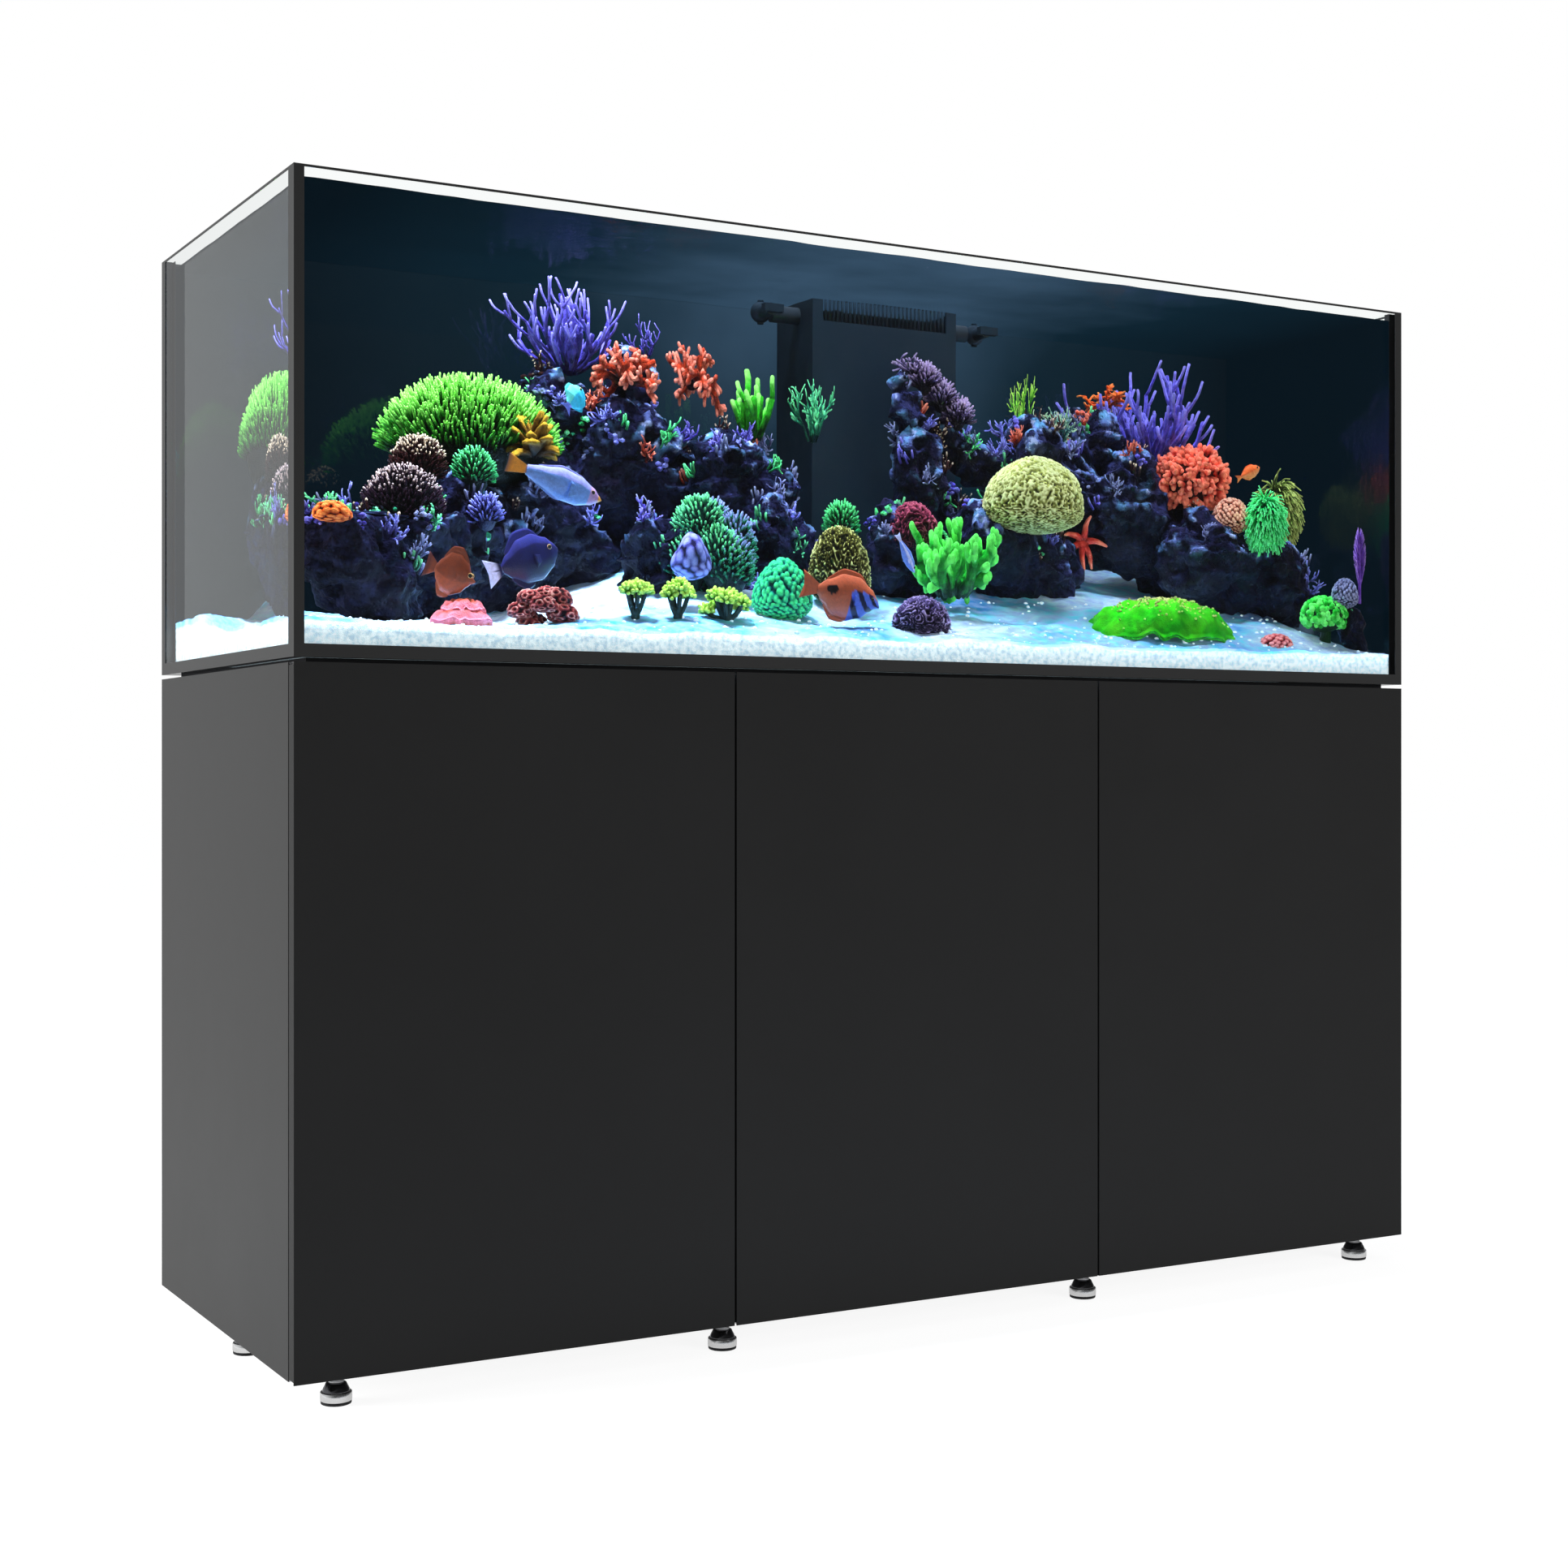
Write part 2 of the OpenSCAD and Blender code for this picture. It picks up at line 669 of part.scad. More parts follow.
front_glass();
back_glass();
left_glass();
right_glass();
base_glass();
silicone_seams();
edge_trim();
background_film();
overflow_box();
overflow_lid();
bulkheads();
drain_pipe();
return_pipe();
nozzle_left();
nozzle_right();
sand_bed();
rock_left();
rock_right();
table_coral();
staghorn_corals();
branch_corals();
brain_corals();
plate_corals();
soft_corals();
fish();
levelling_mat();
top_panel();
base_panel();
left_side_panel();
right_side_panel();
back_panel();
divider_left();
divider_right();
door_left();
door_middle();
door_right();
hinge_brackets();
latch_bodies();
latch_plunger_left();
latch_plunger_middle();
latch_plunger_right();
foot_inserts();
foot(foot_front[0]);  // foot_front_1
foot(foot_front[1]);  // foot_front_2
foot(foot_front[2]);  // foot_front_3
foot(foot_front[3]);  // foot_front_4
foot(foot_back[0]);  // foot_back_1
foot(foot_back[1]);  // foot_back_2
foot(foot_back[2]);  // foot_back_3
foot(foot_back[3]);  // foot_back_4
foot(foot_side[0]);  // foot_side_left
foot(foot_side[1]);  // foot_side_right
sump_tank();
sump_baffles();
filter_sock();
skimmer_body();
skimmer_cup();
return_pump();
drain_valve_handle();
return_valve_handle();
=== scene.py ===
import functools
import itertools
import json
import math
from collections import namedtuple
from dataclasses import dataclass

import bmesh
import bpy
import numpy as np
from mathutils import Matrix, Vector

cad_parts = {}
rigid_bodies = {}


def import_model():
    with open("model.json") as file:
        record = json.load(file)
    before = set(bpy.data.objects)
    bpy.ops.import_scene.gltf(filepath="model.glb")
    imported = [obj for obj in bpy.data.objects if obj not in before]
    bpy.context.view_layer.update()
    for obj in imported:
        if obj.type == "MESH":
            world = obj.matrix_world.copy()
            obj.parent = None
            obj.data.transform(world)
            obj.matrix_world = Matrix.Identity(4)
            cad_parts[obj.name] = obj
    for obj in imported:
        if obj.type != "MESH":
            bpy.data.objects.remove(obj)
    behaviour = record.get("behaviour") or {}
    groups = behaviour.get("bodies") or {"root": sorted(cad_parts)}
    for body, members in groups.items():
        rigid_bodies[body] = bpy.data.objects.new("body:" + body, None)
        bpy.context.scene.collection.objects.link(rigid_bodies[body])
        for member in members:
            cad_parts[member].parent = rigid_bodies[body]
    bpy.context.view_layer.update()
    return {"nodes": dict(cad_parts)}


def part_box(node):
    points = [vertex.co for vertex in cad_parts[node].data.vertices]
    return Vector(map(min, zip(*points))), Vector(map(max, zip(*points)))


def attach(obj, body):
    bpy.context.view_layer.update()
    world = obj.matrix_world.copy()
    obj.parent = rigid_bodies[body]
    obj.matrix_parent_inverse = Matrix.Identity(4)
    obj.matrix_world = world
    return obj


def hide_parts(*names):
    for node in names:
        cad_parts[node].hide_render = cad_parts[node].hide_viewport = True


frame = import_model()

NODES = frame["nodes"]

# The inside of the tank, from its panes; the water stands 11.8 mm under their rim
FRONT_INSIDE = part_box("front_glass")[1].y
BACK_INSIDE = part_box("back_glass")[0].y
SIDE_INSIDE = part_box("right_glass")[0].x
TANK_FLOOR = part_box("base_glass")[1].z
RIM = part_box("front_glass")[1].z
WATER_LEVEL = RIM - 0.0118
REFRACTION = 1.333
FILM_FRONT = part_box("background_film")[0].y


# ---- Colours and shader trees ----

def rgb(code):
    """Linear colour of a six-digit sRGB code."""
    parts = [int(code[i:i + 2], 16) / 255 for i in (0, 2, 4)]
    return tuple(c / 12.92 if c <= 0.04045 else ((c + 0.055) / 1.055) ** 2.4 for c in parts)


class Tree:
    """The nodes of a new material or world, with short calls for the kinds used here."""

    def __init__(self, name, store="materials"):
        self.owner = getattr(bpy.data, store).new(name)
        self.owner.use_nodes = True
        self.nodes = self.owner.node_tree.nodes
        self.nodes.clear()
        self.place = self.add("ShaderNodeTexCoord").outputs["Object"]

    def add(self, kind, **values):
        node = self.nodes.new(kind)
        for key, value in values.items():
            setattr(node, key, value)
        return node

    def feed(self, socket, value):
        if isinstance(value, bpy.types.NodeSocket):
            self.owner.node_tree.links.new(value, socket)
        elif isinstance(value, tuple) and len(value) == 3 and socket.type == "RGBA":
            socket.default_value = (*value, 1)
        else:
            socket.default_value = value

    def node(self, kind, **inputs):
        """First output of a new node; the underscores in an input's name stand for spaces."""
        node = self.add("ShaderNode" + kind)
        for key, value in inputs.items():
            self.feed(node.inputs[key.replace("_", " ")], value)
        return node.outputs[0]

    def noise(self, scale, detail=4.0, distort=0.0):
        return self.node("TexNoise", Vector=self.place, Scale=scale, Detail=detail, Distortion=distort)

    def cells(self, scale):
        return self.node("TexVoronoi", Vector=self.place, Scale=scale)

    def axis(self, name):
        node = self.add("ShaderNodeSeparateXYZ")
        self.feed(node.inputs[0], self.place)
        return node.outputs[name]

    def attribute(self, name, output="Fac"):
        return self.add("ShaderNodeAttribute", attribute_name=name).outputs[output]

    def ramp(self, source, *stops):
        """Colours at places from 0 to 1; a single number stands for a grey."""
        node = self.add("ShaderNodeValToRGB")
        points = node.color_ramp.elements
        while len(points) < len(stops):
            points.new(0.5)
        for point, (place, colour) in zip(points, stops):
            point.position = place
            point.color = (*colour, 1) if isinstance(colour, tuple) else (colour,) * 3 + (1,)
        self.feed(node.inputs["Fac"], source)
        return node.outputs["Color"]

    def mask(self, source, low, high):
        """A grey that is black up to low and white from high."""
        return self.ramp(source, (low, 0.0), (high, 1.0))

    def mix(self, factor, a, b):
        node = self.add("ShaderNodeMix", data_type="RGBA")
        for index, value in ((0, factor), (6, a), (7, b)):
            self.feed(node.inputs[index], value)
        return node.outputs[2]

    def math(self, operation, a, b=0.0):
        node = self.add("ShaderNodeMath", operation=operation)
        self.feed(node.inputs[0], a)
        self.feed(node.inputs[1], b)
        return node.outputs[0]

    def scaled(self, source, low, high, to_low, to_high, **settings):
        node = self.add("ShaderNodeMapRange", **settings)
        for index, value in enumerate((source, low, high, to_low, to_high)):
            self.feed(node.inputs[index], value)
        return node.outputs[0]

    def bump(self, height, distance, strength=1.0):
        return self.node("Bump", Strength=strength, Distance=distance, Height=height)

    def blend(self, factor, first, second):
        node = self.add("ShaderNodeMixShader")
        for index, value in enumerate((factor, first, second)):
            self.feed(node.inputs[index], value)
        return node.outputs[0]

    def finish(self, shader):
        kind = "World" if isinstance(self.owner, bpy.types.World) else "Material"
        self.feed(self.add("ShaderNodeOutput" + kind).inputs["Surface"], shader)
        return self.owner

    def surface(self, **inputs):
        return self.finish(self.node("BsdfPrincipled", **inputs))


def laminate(name, tone, rough, grain=900):
    """Matt dark sheet: fine pebbled bump, faint cloudy wear."""
    t = Tree(name)
    cloud = t.noise(5, 4)
    colour = t.ramp(cloud, (0.3, tuple(c * 0.94 for c in tone)), (0.7, tuple(c * 1.06 for c in tone)))
    roughness = t.scaled(cloud, 0.3, 0.7, rough - 0.03, rough + 0.03)
    return t.surface(Base_Color=colour, Roughness=roughness, Specular_IOR_Level=0.16,
                     Normal=t.bump(t.noise(grain, 3), 0.00012, 0.35))


def moulded(name, tone, rough=0.4, grain=700, metallic=0.0):
    """Moulded plastic or plain metal with a faint grain and smudges."""
    t = Tree(name)
    smudge = t.noise(22, 5)
    colour = t.ramp(smudge, (0.25, tuple(c * 0.85 for c in tone)),
                    (0.75, tuple(min(c * 1.12, 1) for c in tone)))
    roughness = t.scaled(smudge, 0.25, 0.75, rough - 0.07, rough + 0.08)
    return t.surface(Base_Color=colour, Roughness=roughness, Metallic=metallic,
                     Normal=t.bump(t.noise(grain, 3), 0.0001, 0.4))


def pane(name, tint):
    """Thin clear sheet: each outer face reflects once, and the rest goes straight through."""
    t = Tree(name)
    facing = t.math("SUBTRACT", 1.0, t.add("ShaderNodeNewGeometry").outputs["Backfacing"])
    gloss = t.node("BsdfGlossy", Roughness=t.scaled(t.noise(14, 5), 0.4, 0.75, 0.0, 0.02))
    share = t.math("MULTIPLY", t.node("Fresnel", IOR=1.45), facing)
    return t.finish(t.blend(share, t.node("BsdfTransparent", Color=tint), gloss))


def backdrop(t):
    """Colour of the navy backdrop's painted glow, a painted pool of light: lighter high up in the middle,
    nearly black at the ends.
    """
    across = t.math("ABSOLUTE", t.math("ADD", t.axis("X"), -0.05))
    side = t.scaled(across, 0.12, 0.86, 1.0, 0.0)
    high = t.scaled(t.axis("Z"), 1.05, 1.5, 0.22, 1.0)
    cloud = t.scaled(t.noise(5, 3), 0.2, 0.8, 0.75, 1.15)
    light = t.math("MULTIPLY", t.math("MULTIPLY", side, high), cloud)
    return t.ramp(light, (0.0, rgb("01101a")), (0.45, rgb("0a2432")), (1.0, rgb("3a546c")))


def water_material():
    """Refracting water that lets the lamps' light in; from inside, where it would mirror fully, a painted
    reflection (a glow in the backdrop's colour) stands in, with only a dim real mirror of the reef.
    """
    t = Tree("water")
    glass = t.node("BsdfGlass", IOR=REFRACTION, Roughness=0.0, Color=(0.97, 0.985, 1.0))
    # Painted reflection: a glow in the backdrop's colour stands in for the water's inner mirror
    deep = t.node("Emission", Color=backdrop(t))
    mirror = t.node("BsdfGlossy", Roughness=0.1, Normal=t.bump(t.noise(34, 4), 0.004, 0.6))
    trapped = t.math("MULTIPLY", t.math("GREATER_THAN", t.node("Fresnel", IOR=REFRACTION), 0.9),
                     t.add("ShaderNodeNewGeometry").outputs["Backfacing"])
    seen = t.blend(trapped, glass, t.blend(0.045, deep, mirror))
    shadow = t.add("ShaderNodeLightPath").outputs["Is Shadow Ray"]
    return t.finish(t.blend(shadow, seen, t.node("BsdfTransparent")))


def film_material():
    """The film behind the back pane, lit by itself as the photo's backdrop is."""
    t = Tree("background_film")
    # Painted light: the film glows with the backdrop's colour, brightest high up in the middle
    return t.surface(Base_Color=t.scaled(t.noise(8, 3), 0.2, 0.8, 0.0012, 0.0022), Roughness=0.8,
                     Emission_Color=backdrop(t), Emission_Strength=0.9, Specular_IOR_Level=0.0)


# ---- Number patterns ----

def cell_values(cells, seed):
    """A number from 0 to 1 for each whole-number cell."""
    c = np.asarray(cells).astype(np.int64)
    h = (c[..., 0] * 73856093) ^ (c[..., 1] * 19349663) ^ (c[..., 2] * 83492791) ^ (seed * 40503 + 9973)
    h = (((h ^ (h >> 13)) & 0x7FFFFFFF) * 1274126177) & 0x7FFFFFFF
    h = ((h ^ (h >> 16)) * 1103515245) & 0x7FFFFFFF
    return h / 0x7FFFFFFF


def soft_noise(points, size, seed):
    """Smooth noise from -1 to 1, with features of the given size."""
    p = np.asarray(points) / size
    base = np.floor(p)
    f = p - base
    f = f * f * (3 - 2 * f)
    total = np.zeros(p.shape[:-1])
    for corner in itertools.product((0, 1), repeat=3):
        weight = np.prod(np.where(np.array(corner) == 1, f, 1 - f), axis=-1)
        total += weight * cell_values(base + np.array(corner), seed)
    return total * 2 - 1


def rough_noise(points, size, seed, octaves=4):
    return sum(0.5 ** k * soft_noise(points, size / 2 ** k, seed + k) for k in range(octaves))


def smooth_step(value, low, high):
    t = np.clip((value - low) / (high - low), 0, 1)
    return t * t * (3 - 2 * t)


def coords(x, y, z):
    """Points from their coordinates, each an array or one number for all."""
    return np.stack(np.broadcast_arrays(x, y, z), axis=-1).astype(float)


def full_turn(sides):
    return np.linspace(0, 2 * math.pi, sides, endpoint=False)


def unit(vectors):
    v = np.asarray(vectors, float)
    return v / np.maximum(np.linalg.norm(v, axis=-1, keepdims=True), 1e-9)


# ---- Meshes ----

class Shape:
    """Points and faces, with a value from 0 in a hollow to 1 at a tip for each point; the coral and rock
    materials paint shade where it is low.
    """

    def __init__(self):
        self.points = []
        self.quads = []
        self.tris = []
        self.tips = []
        self.paints = []
        self.count = 0

    def add(self, points, quads=(), tris=(), tips=0.5, paint=None):
        points = np.asarray(points, float)
        if len(quads):
            self.quads.append(np.asarray(quads) + self.count)
        if len(tris):
            self.tris.append(np.asarray(tris) + self.count)
        self.points.append(points)
        self.tips.append(np.broadcast_to(np.asarray(tips, float), (len(points),)))
        if paint is not None:
            self.paints.append(np.broadcast_to(np.asarray(paint, float), (len(points), 3)))
        self.count += len(points)

    def all_points(self):
        return np.concatenate(self.points)

    def place(self, points):
        """Swaps in moved points, in the order they were added."""
        self.points = [points]
        self.tips = [np.concatenate(self.tips)]
        return self

    def fit(self, low, high):
        """Stretches the shape to fill a box."""
        p = self.all_points()
        lo, hi = p.min(0), p.max(0)
        return self.place((p - lo) / (hi - lo) * (np.asarray(high) - low) + low)

    def merge(self, other):
        self.add(other.all_points(), tips=np.concatenate(other.tips),
                 paint=np.concatenate(other.paints) if other.paints else None)
        start = self.count - len(other.all_points())
        self.quads += [q + start for q in other.quads]
        self.tris += [q + start for q in other.tris]
        return self

    def mesh(self, name):
        points = self.all_points()
        loops, starts = [], []
        at = 0
        for group, sides in ((self.quads, 4), (self.tris, 3)):
            if group:
                faces = np.concatenate(group)
                loops.append(faces.ravel())
                starts.append(at + np.arange(len(faces)) * sides)
                at += faces.size
        loops = np.concatenate(loops).astype(np.int32)
        starts = np.concatenate(starts).astype(np.int32)
        mesh = bpy.data.meshes.new(name)
        mesh.vertices.add(len(points))
        mesh.vertices.foreach_set("co", points.astype(np.float32).ravel())
        mesh.loops.add(len(loops))
        mesh.loops.foreach_set("vertex_index", loops)
        mesh.polygons.add(len(starts))
        mesh.polygons.foreach_set("loop_start", starts)
        mesh.polygons.foreach_set("use_smooth", np.full(len(starts), True))
        mesh.update(calc_edges=True)
        tip = mesh.attributes.new("tip", "FLOAT", "POINT")
        tip.data.foreach_set("value", np.concatenate(self.tips).astype(np.float32))
        if self.paints:
            paint = mesh.attributes.new("paint", "FLOAT_COLOR", "POINT")
            colours = np.concatenate(self.paints)
            colours = np.concatenate([colours, np.ones((len(colours), 1))], axis=1)
            paint.data.foreach_set("color", colours.astype(np.float32).ravel())
        return mesh

    def piece(self, name, material, slot, body="root", replaces=()):
        """One finished object that rides on a body."""
        mesh = self.mesh(name)
        mesh.materials.append(material)
        return finished(bpy.data.objects.new(name, mesh), body, replaces)


def finished(piece, body="root", replaces=()):
    bpy.context.scene.collection.objects.link(piece)
    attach(piece, body)
    if replaces:
        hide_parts(*replaces)
    return piece


def ring_faces(rings, sides):
    """Quads between rings of points that lie one after the other."""
    i = np.arange(rings - 1)[:, None] * sides
    j = np.arange(sides)[None, :]
    k = (j + 1) % sides
    quads = np.stack([i + j, i + k, i + k + sides, i + j + sides], axis=-1)
    return quads.reshape(-1, 4)


def cap_faces(first, sides, pole, flip):
    j = np.arange(sides)
    k = (j + 1) % sides
    order = (first + k, first + j) if flip else (first + j, first + k)
    return np.stack([*order, np.full(sides, pole)], axis=-1)


def closed_rings(shape, rings, ends, tips=0.5):
    """Adds rings of points as one closed skin, with a point in the middle of each end."""
    count, sides = rings.shape[:2]
    tris = np.vstack([cap_faces(0, sides, count * sides, True),
                      cap_faces((count - 1) * sides, sides, count * sides + 1, False)])
    shape.add(np.vstack([rings.reshape(-1, 3), *ends]), ring_faces(count, sides), tris, tips)


def tube(shape, path, radii, sides=7, tips=0.5):
    """A closed tube along a path, with a domed far end."""
    path = np.asarray(path, float)
    radii = np.broadcast_to(np.asarray(radii, float), (len(path),))
    tips = np.broadcast_to(np.asarray(tips, float), (len(path),))
    along = unit(np.gradient(path, axis=0))
    path = np.vstack([path, path[-1] + along[-1] * radii[-1] * 0.55])
    along = np.vstack([along, along[-1]])
    radii = np.append(radii, radii[-1] * 0.68)
    tips = np.append(tips, tips[-1])
    mean = np.abs(along.mean(0))
    side = np.zeros(3)
    side[np.argmin(mean)] = 1
    u = unit(np.cross(along, side))
    v = np.cross(along, u)
    angle = full_turn(sides)
    rings = path[:, None] + radii[:, None, None] * (
        np.cos(angle)[None, :, None] * u[:, None] + np.sin(angle)[None, :, None] * v[:, None])
    ends = path[0] - along[0] * radii[0] * 0.1, path[-1] + along[-1] * radii[-1] * 0.45
    closed_rings(shape, rings, ends, np.concatenate([np.repeat(tips, sides), [tips[0], tips[-1]]]))


def lathe(shape, profile, centre, sides=48):
    """Turns (radius, height) pairs round an upright axis; the ends close at radius 0."""
    angle = full_turn(sides)
    radii, heights = np.array(profile).T[:, :, None]
    rings = coords(radii * np.cos(angle), radii * np.sin(angle), heights) + centre
    closed_rings(shape, rings, [np.add(centre, [0, 0, profile[end][1]]) for end in (0, -1)])


def block(shape, low, high):
    """A box between two corners."""
    low, high = np.asarray(low, float), np.asarray(high, float)
    corners = np.array([[x, y, z] for z in (0, 1) for y in (0, 1) for x in (0, 1)])
    quads = [[0, 2, 3, 1], [4, 5, 7, 6], [0, 1, 5, 4], [2, 6, 7, 3], [0, 4, 6, 2], [1, 3, 7, 5]]
    shape.add(low + corners * (high - low), quads)


def bevelled(piece, width, segments=2, angle=30):
    """Small rounded edges on a sharp piece."""
    modifier = piece.modifiers.new("edge", "BEVEL")
    modifier.width = width
    modifier.segments = segments
    modifier.limit_method = "ANGLE"
    modifier.angle_limit = math.radians(angle)
    return piece


def read(items, name, width, kind=float):
    """One attribute of all of a mesh's vertices, edges, faces or loops, a row for each."""
    values = np.zeros(len(items) * width, kind)
    items.foreach_get(name, values)
    return values.reshape(-1, width)


def solids(node):
    """Boxes (low, high) of a node's separate solids, from left to right."""
    mesh = NODES[node].data
    points = read(mesh.vertices, "co", 3)
    _, same = np.unique(np.round(points, 5), axis=0, return_inverse=True)
    same = same.ravel()
    ends = same[read(mesh.edges, "vertices", 2, np.int32)]
    label = np.arange(same.max() + 1)
    while True:
        least = np.minimum(label[ends[:, 0]], label[ends[:, 1]])
        new = label.copy()
        np.minimum.at(new, ends[:, 0], least)
        np.minimum.at(new, ends[:, 1], least)
        new = new[new]
        if (new == label).all():
            break
        label = new
    owner = label[same]
    boxes = [(points[owner == k].min(0), points[owner == k].max(0)) for k in np.unique(owner)]
    return sorted(boxes, key=lambda b: tuple(np.round((b[0] + b[1]) / 2, 4)))


def at_share(box, share=0.0):
    """The point over the middle of a box's underside, at a share of its height."""
    low, high = box
    middle = (low + high) / 2
    return np.array([middle[0], middle[1], low[2] + (high[2] - low[2]) * share])


def toward(turn, lean):
    """Unit direction that leans from upright to the side that turn points to, both in radians."""
    return np.array([math.cos(turn) * math.sin(lean), math.sin(turn) * math.sin(lean), math.cos(lean)])


# ---- Camera, light and floor ----

def make_camera():
    """The photograph's viewpoint; the white studio needs the plain view transform."""
    data = bpy.data.cameras.new("camera")
    data.lens = 52.1
    data.sensor_width = 36
    data.shift_y = -0.0078
    camera = bpy.data.objects.new("camera", data)
    camera.location = (-1.7305, -2.9533, 0.772)
    camera.rotation_euler = (math.pi / 2, 0, -math.radians(29.62))
    bpy.context.scene.collection.objects.link(camera)
    bpy.context.scene.camera = camera
    bpy.context.scene.view_settings.view_transform = "Standard"


def make_world():
    """White studio: bright behind and to the left, dim in front and to the right."""
    t = Tree("studio", "worlds")
    dot = t.add("ShaderNodeVectorMath", operation="DOT_PRODUCT")
    t.feed(dot.inputs[0], t.add("ShaderNodeTexCoord").outputs["Generated"])
    t.feed(dot.inputs[1], (-0.45, 0.8, 0.4))
    strength = t.scaled(dot.outputs["Value"], -0.55, 0.75, 0.05, 0.62, interpolation_type="SMOOTHSTEP")
    room = t.node("Background", Color=(0.97, 0.99, 1.0), Strength=strength)
    white = t.node("Background", Color=(1.0, 1.0, 1.0))
    seen = t.add("ShaderNodeLightPath").outputs["Is Camera Ray"]
    bpy.context.scene.world = t.finish(t.blend(seen, room, white))


def make_floor():
    """Pale floor that looks white and throws up little light."""
    half = 30.0
    shape = Shape()
    shape.add([[-half, -half, 0], [half, -half, 0], [half, half, 0], [-half, half, 0]], [[0, 1, 2, 3]])
    t = Tree("floor")
    lit = t.node("BsdfDiffuse", Color=t.ramp(t.noise(3, 3), (0.3, 0.88), (0.7, 0.9)))
    path = t.add("ShaderNodeLightPath")
    strength = t.math("ADD", t.scaled(path.outputs["Is Diffuse Ray"], 0.0, 1.0, 0.7, 0.35),
                      t.scaled(path.outputs["Is Camera Ray"], 0.0, 1.0, 0.0, 0.55))
    mesh = shape.mesh("floor")
    mesh.materials.append(t.finish(t.blend(0.72, lit, t.node("Emission", Strength=strength))))
    floor = bpy.data.objects.new("floor", mesh)
    bpy.context.scene.collection.objects.link(floor)


def area_light(name, place, aim, size, power, colour=(1, 1, 1), spread=180):
    """A soft lamp that lights the object and isn't seen itself."""
    data = bpy.data.lights.new(name, "AREA")
    data.shape = "RECTANGLE"
    data.size, data.size_y = size
    data.energy = power
    data.color = colour
    data.spread = math.radians(spread)
    lamp = bpy.data.objects.new(name, data)
    lamp.location = place
    direction = np.asarray(aim, float) - np.asarray(place, float)
    lamp.rotation_euler = Vector(direction).to_track_quat("-Z", "Y").to_euler()
    bpy.context.scene.collection.objects.link(lamp)
    lamp.visible_camera = False
    lamp.visible_glossy = False
    lamp.visible_transmission = False


def make_lights():
    # Blue-white reef lamps high over the open tank, aimed a little to the back
    for x in (-0.6, 0.0, 0.6):
        area_light("reef_lamp", (x, -0.08, RIM + 0.75), (x, 0.02, TANK_FLOOR), (0.35, 0.22), 18.5,
                   (0.68, 0.8, 1.0), 75)
    area_light("front_fill", (1.6, -4.6, 1.5), (0, 0, 0.4), (3.0, 2.0), 130)
    area_light("side_softbox", (-4.2, 1.0, 1.1), (-0.9, 0.2, 0.7), (2.0, 2.2), 330)


# ---- Tank, cabinet and fittings that keep their CAD shape ----

def dress_nodes():
    """Gives the CAD nodes that stay their materials and small rounded edges.

    The materials that the added small parts share with them are returned."""
    black = moulded("black_acrylic", (0.003, 0.006, 0.009), 0.6)
    pvc = moulded("grey_pvc", (0.30, 0.31, 0.33), 0.38)
    dark = moulded("dark_moulding", (0.022, 0.022, 0.026), 0.42)
    looks = [
        (pane("tank_glass", (0.985, 0.997, 0.993)),
         "front_glass back_glass left_glass right_glass base_glass sump_tank"),
        (pane("clear_acrylic", (0.93, 0.96, 0.97)), "sump_baffles skimmer_body"),
        # Partly painted light: the panels' tone is set lighter and the doors' darker, standing in for the
        # light on the side and the shade on the front
        (laminate("cabinet_laminate_painted_lighter", (0.024, 0.024, 0.024), 0.5),
         "top_panel base_panel left_side_panel right_side_panel back_panel divider_left divider_right"),
        (laminate("door_laminate_painted_darker", (0.0165, 0.0165, 0.0165), 0.55, 1200), "door_left door_middle door_right"),
        (laminate("edge_profile", (0.027, 0.027, 0.027), 0.42, 1500), "edge_trim"),
        (film_material(), "background_film"),
        (moulded("silicone", (0.008, 0.008, 0.009), 0.35), "silicone_seams"),
        (black, "overflow_box overflow_lid nozzle_left nozzle_right"),
        (pvc, "drain_pipe"),
        (moulded("dark_pvc", (0.006, 0.008, 0.010), 0.6), "bulkheads return_pipe"),
        (moulded("zinc_steel", (0.62, 0.62, 0.64), 0.28, 500, 1.0), "hinge_brackets"),
        (moulded("grey_nylon", (0.5, 0.5, 0.51), 0.45),
         "latch_bodies latch_plunger_left latch_plunger_middle latch_plunger_right"),
        (moulded("white_nylon", (0.72, 0.72, 0.7), 0.5), "foot_inserts"),
        (moulded("closed_cell_foam", (0.012, 0.012, 0.013), 0.85, 260), "levelling_mat"),
        (moulded("felt", (0.8, 0.8, 0.76), 0.9, 420), "filter_sock"),
        (dark, "skimmer_cup return_pump"),
        (moulded("red_moulding", (0.6, 0.035, 0.02), 0.32), "drain_valve_handle return_valve_handle"),
    ]
    for material, names in looks:
        for name in names.split():
            data = NODES[name].data
            data.materials.clear()
            data.materials.append(material)
    for name in ("door_left", "door_middle", "door_right", "left_side_panel", "right_side_panel"):
        bevelled(NODES[name], 0.0006)
    return {"black": black, "pvc": pvc, "dark": dark}


# ---- Water and sand ----

def sheet_faces(columns, rows):
    """Quads of a grid of points that lie row after row."""
    i = np.arange(rows - 1)[:, None] * columns
    j = np.arange(columns - 1)[None, :]
    return np.stack([i + j, i + j + 1, i + j + 1 + columns, i + j + columns], axis=-1).reshape(-1, 4)


def rim_of(columns, rows):
    """Indices round the edge of a grid, anticlockwise from its first corner."""
    low = np.arange(columns)
    right = np.arange(1, rows) * columns + columns - 1
    top = (rows - 1) * columns + np.arange(columns - 2, -1, -1)
    left = np.arange(rows - 2, 0, -1) * columns
    return np.concatenate([low, right, top, left])


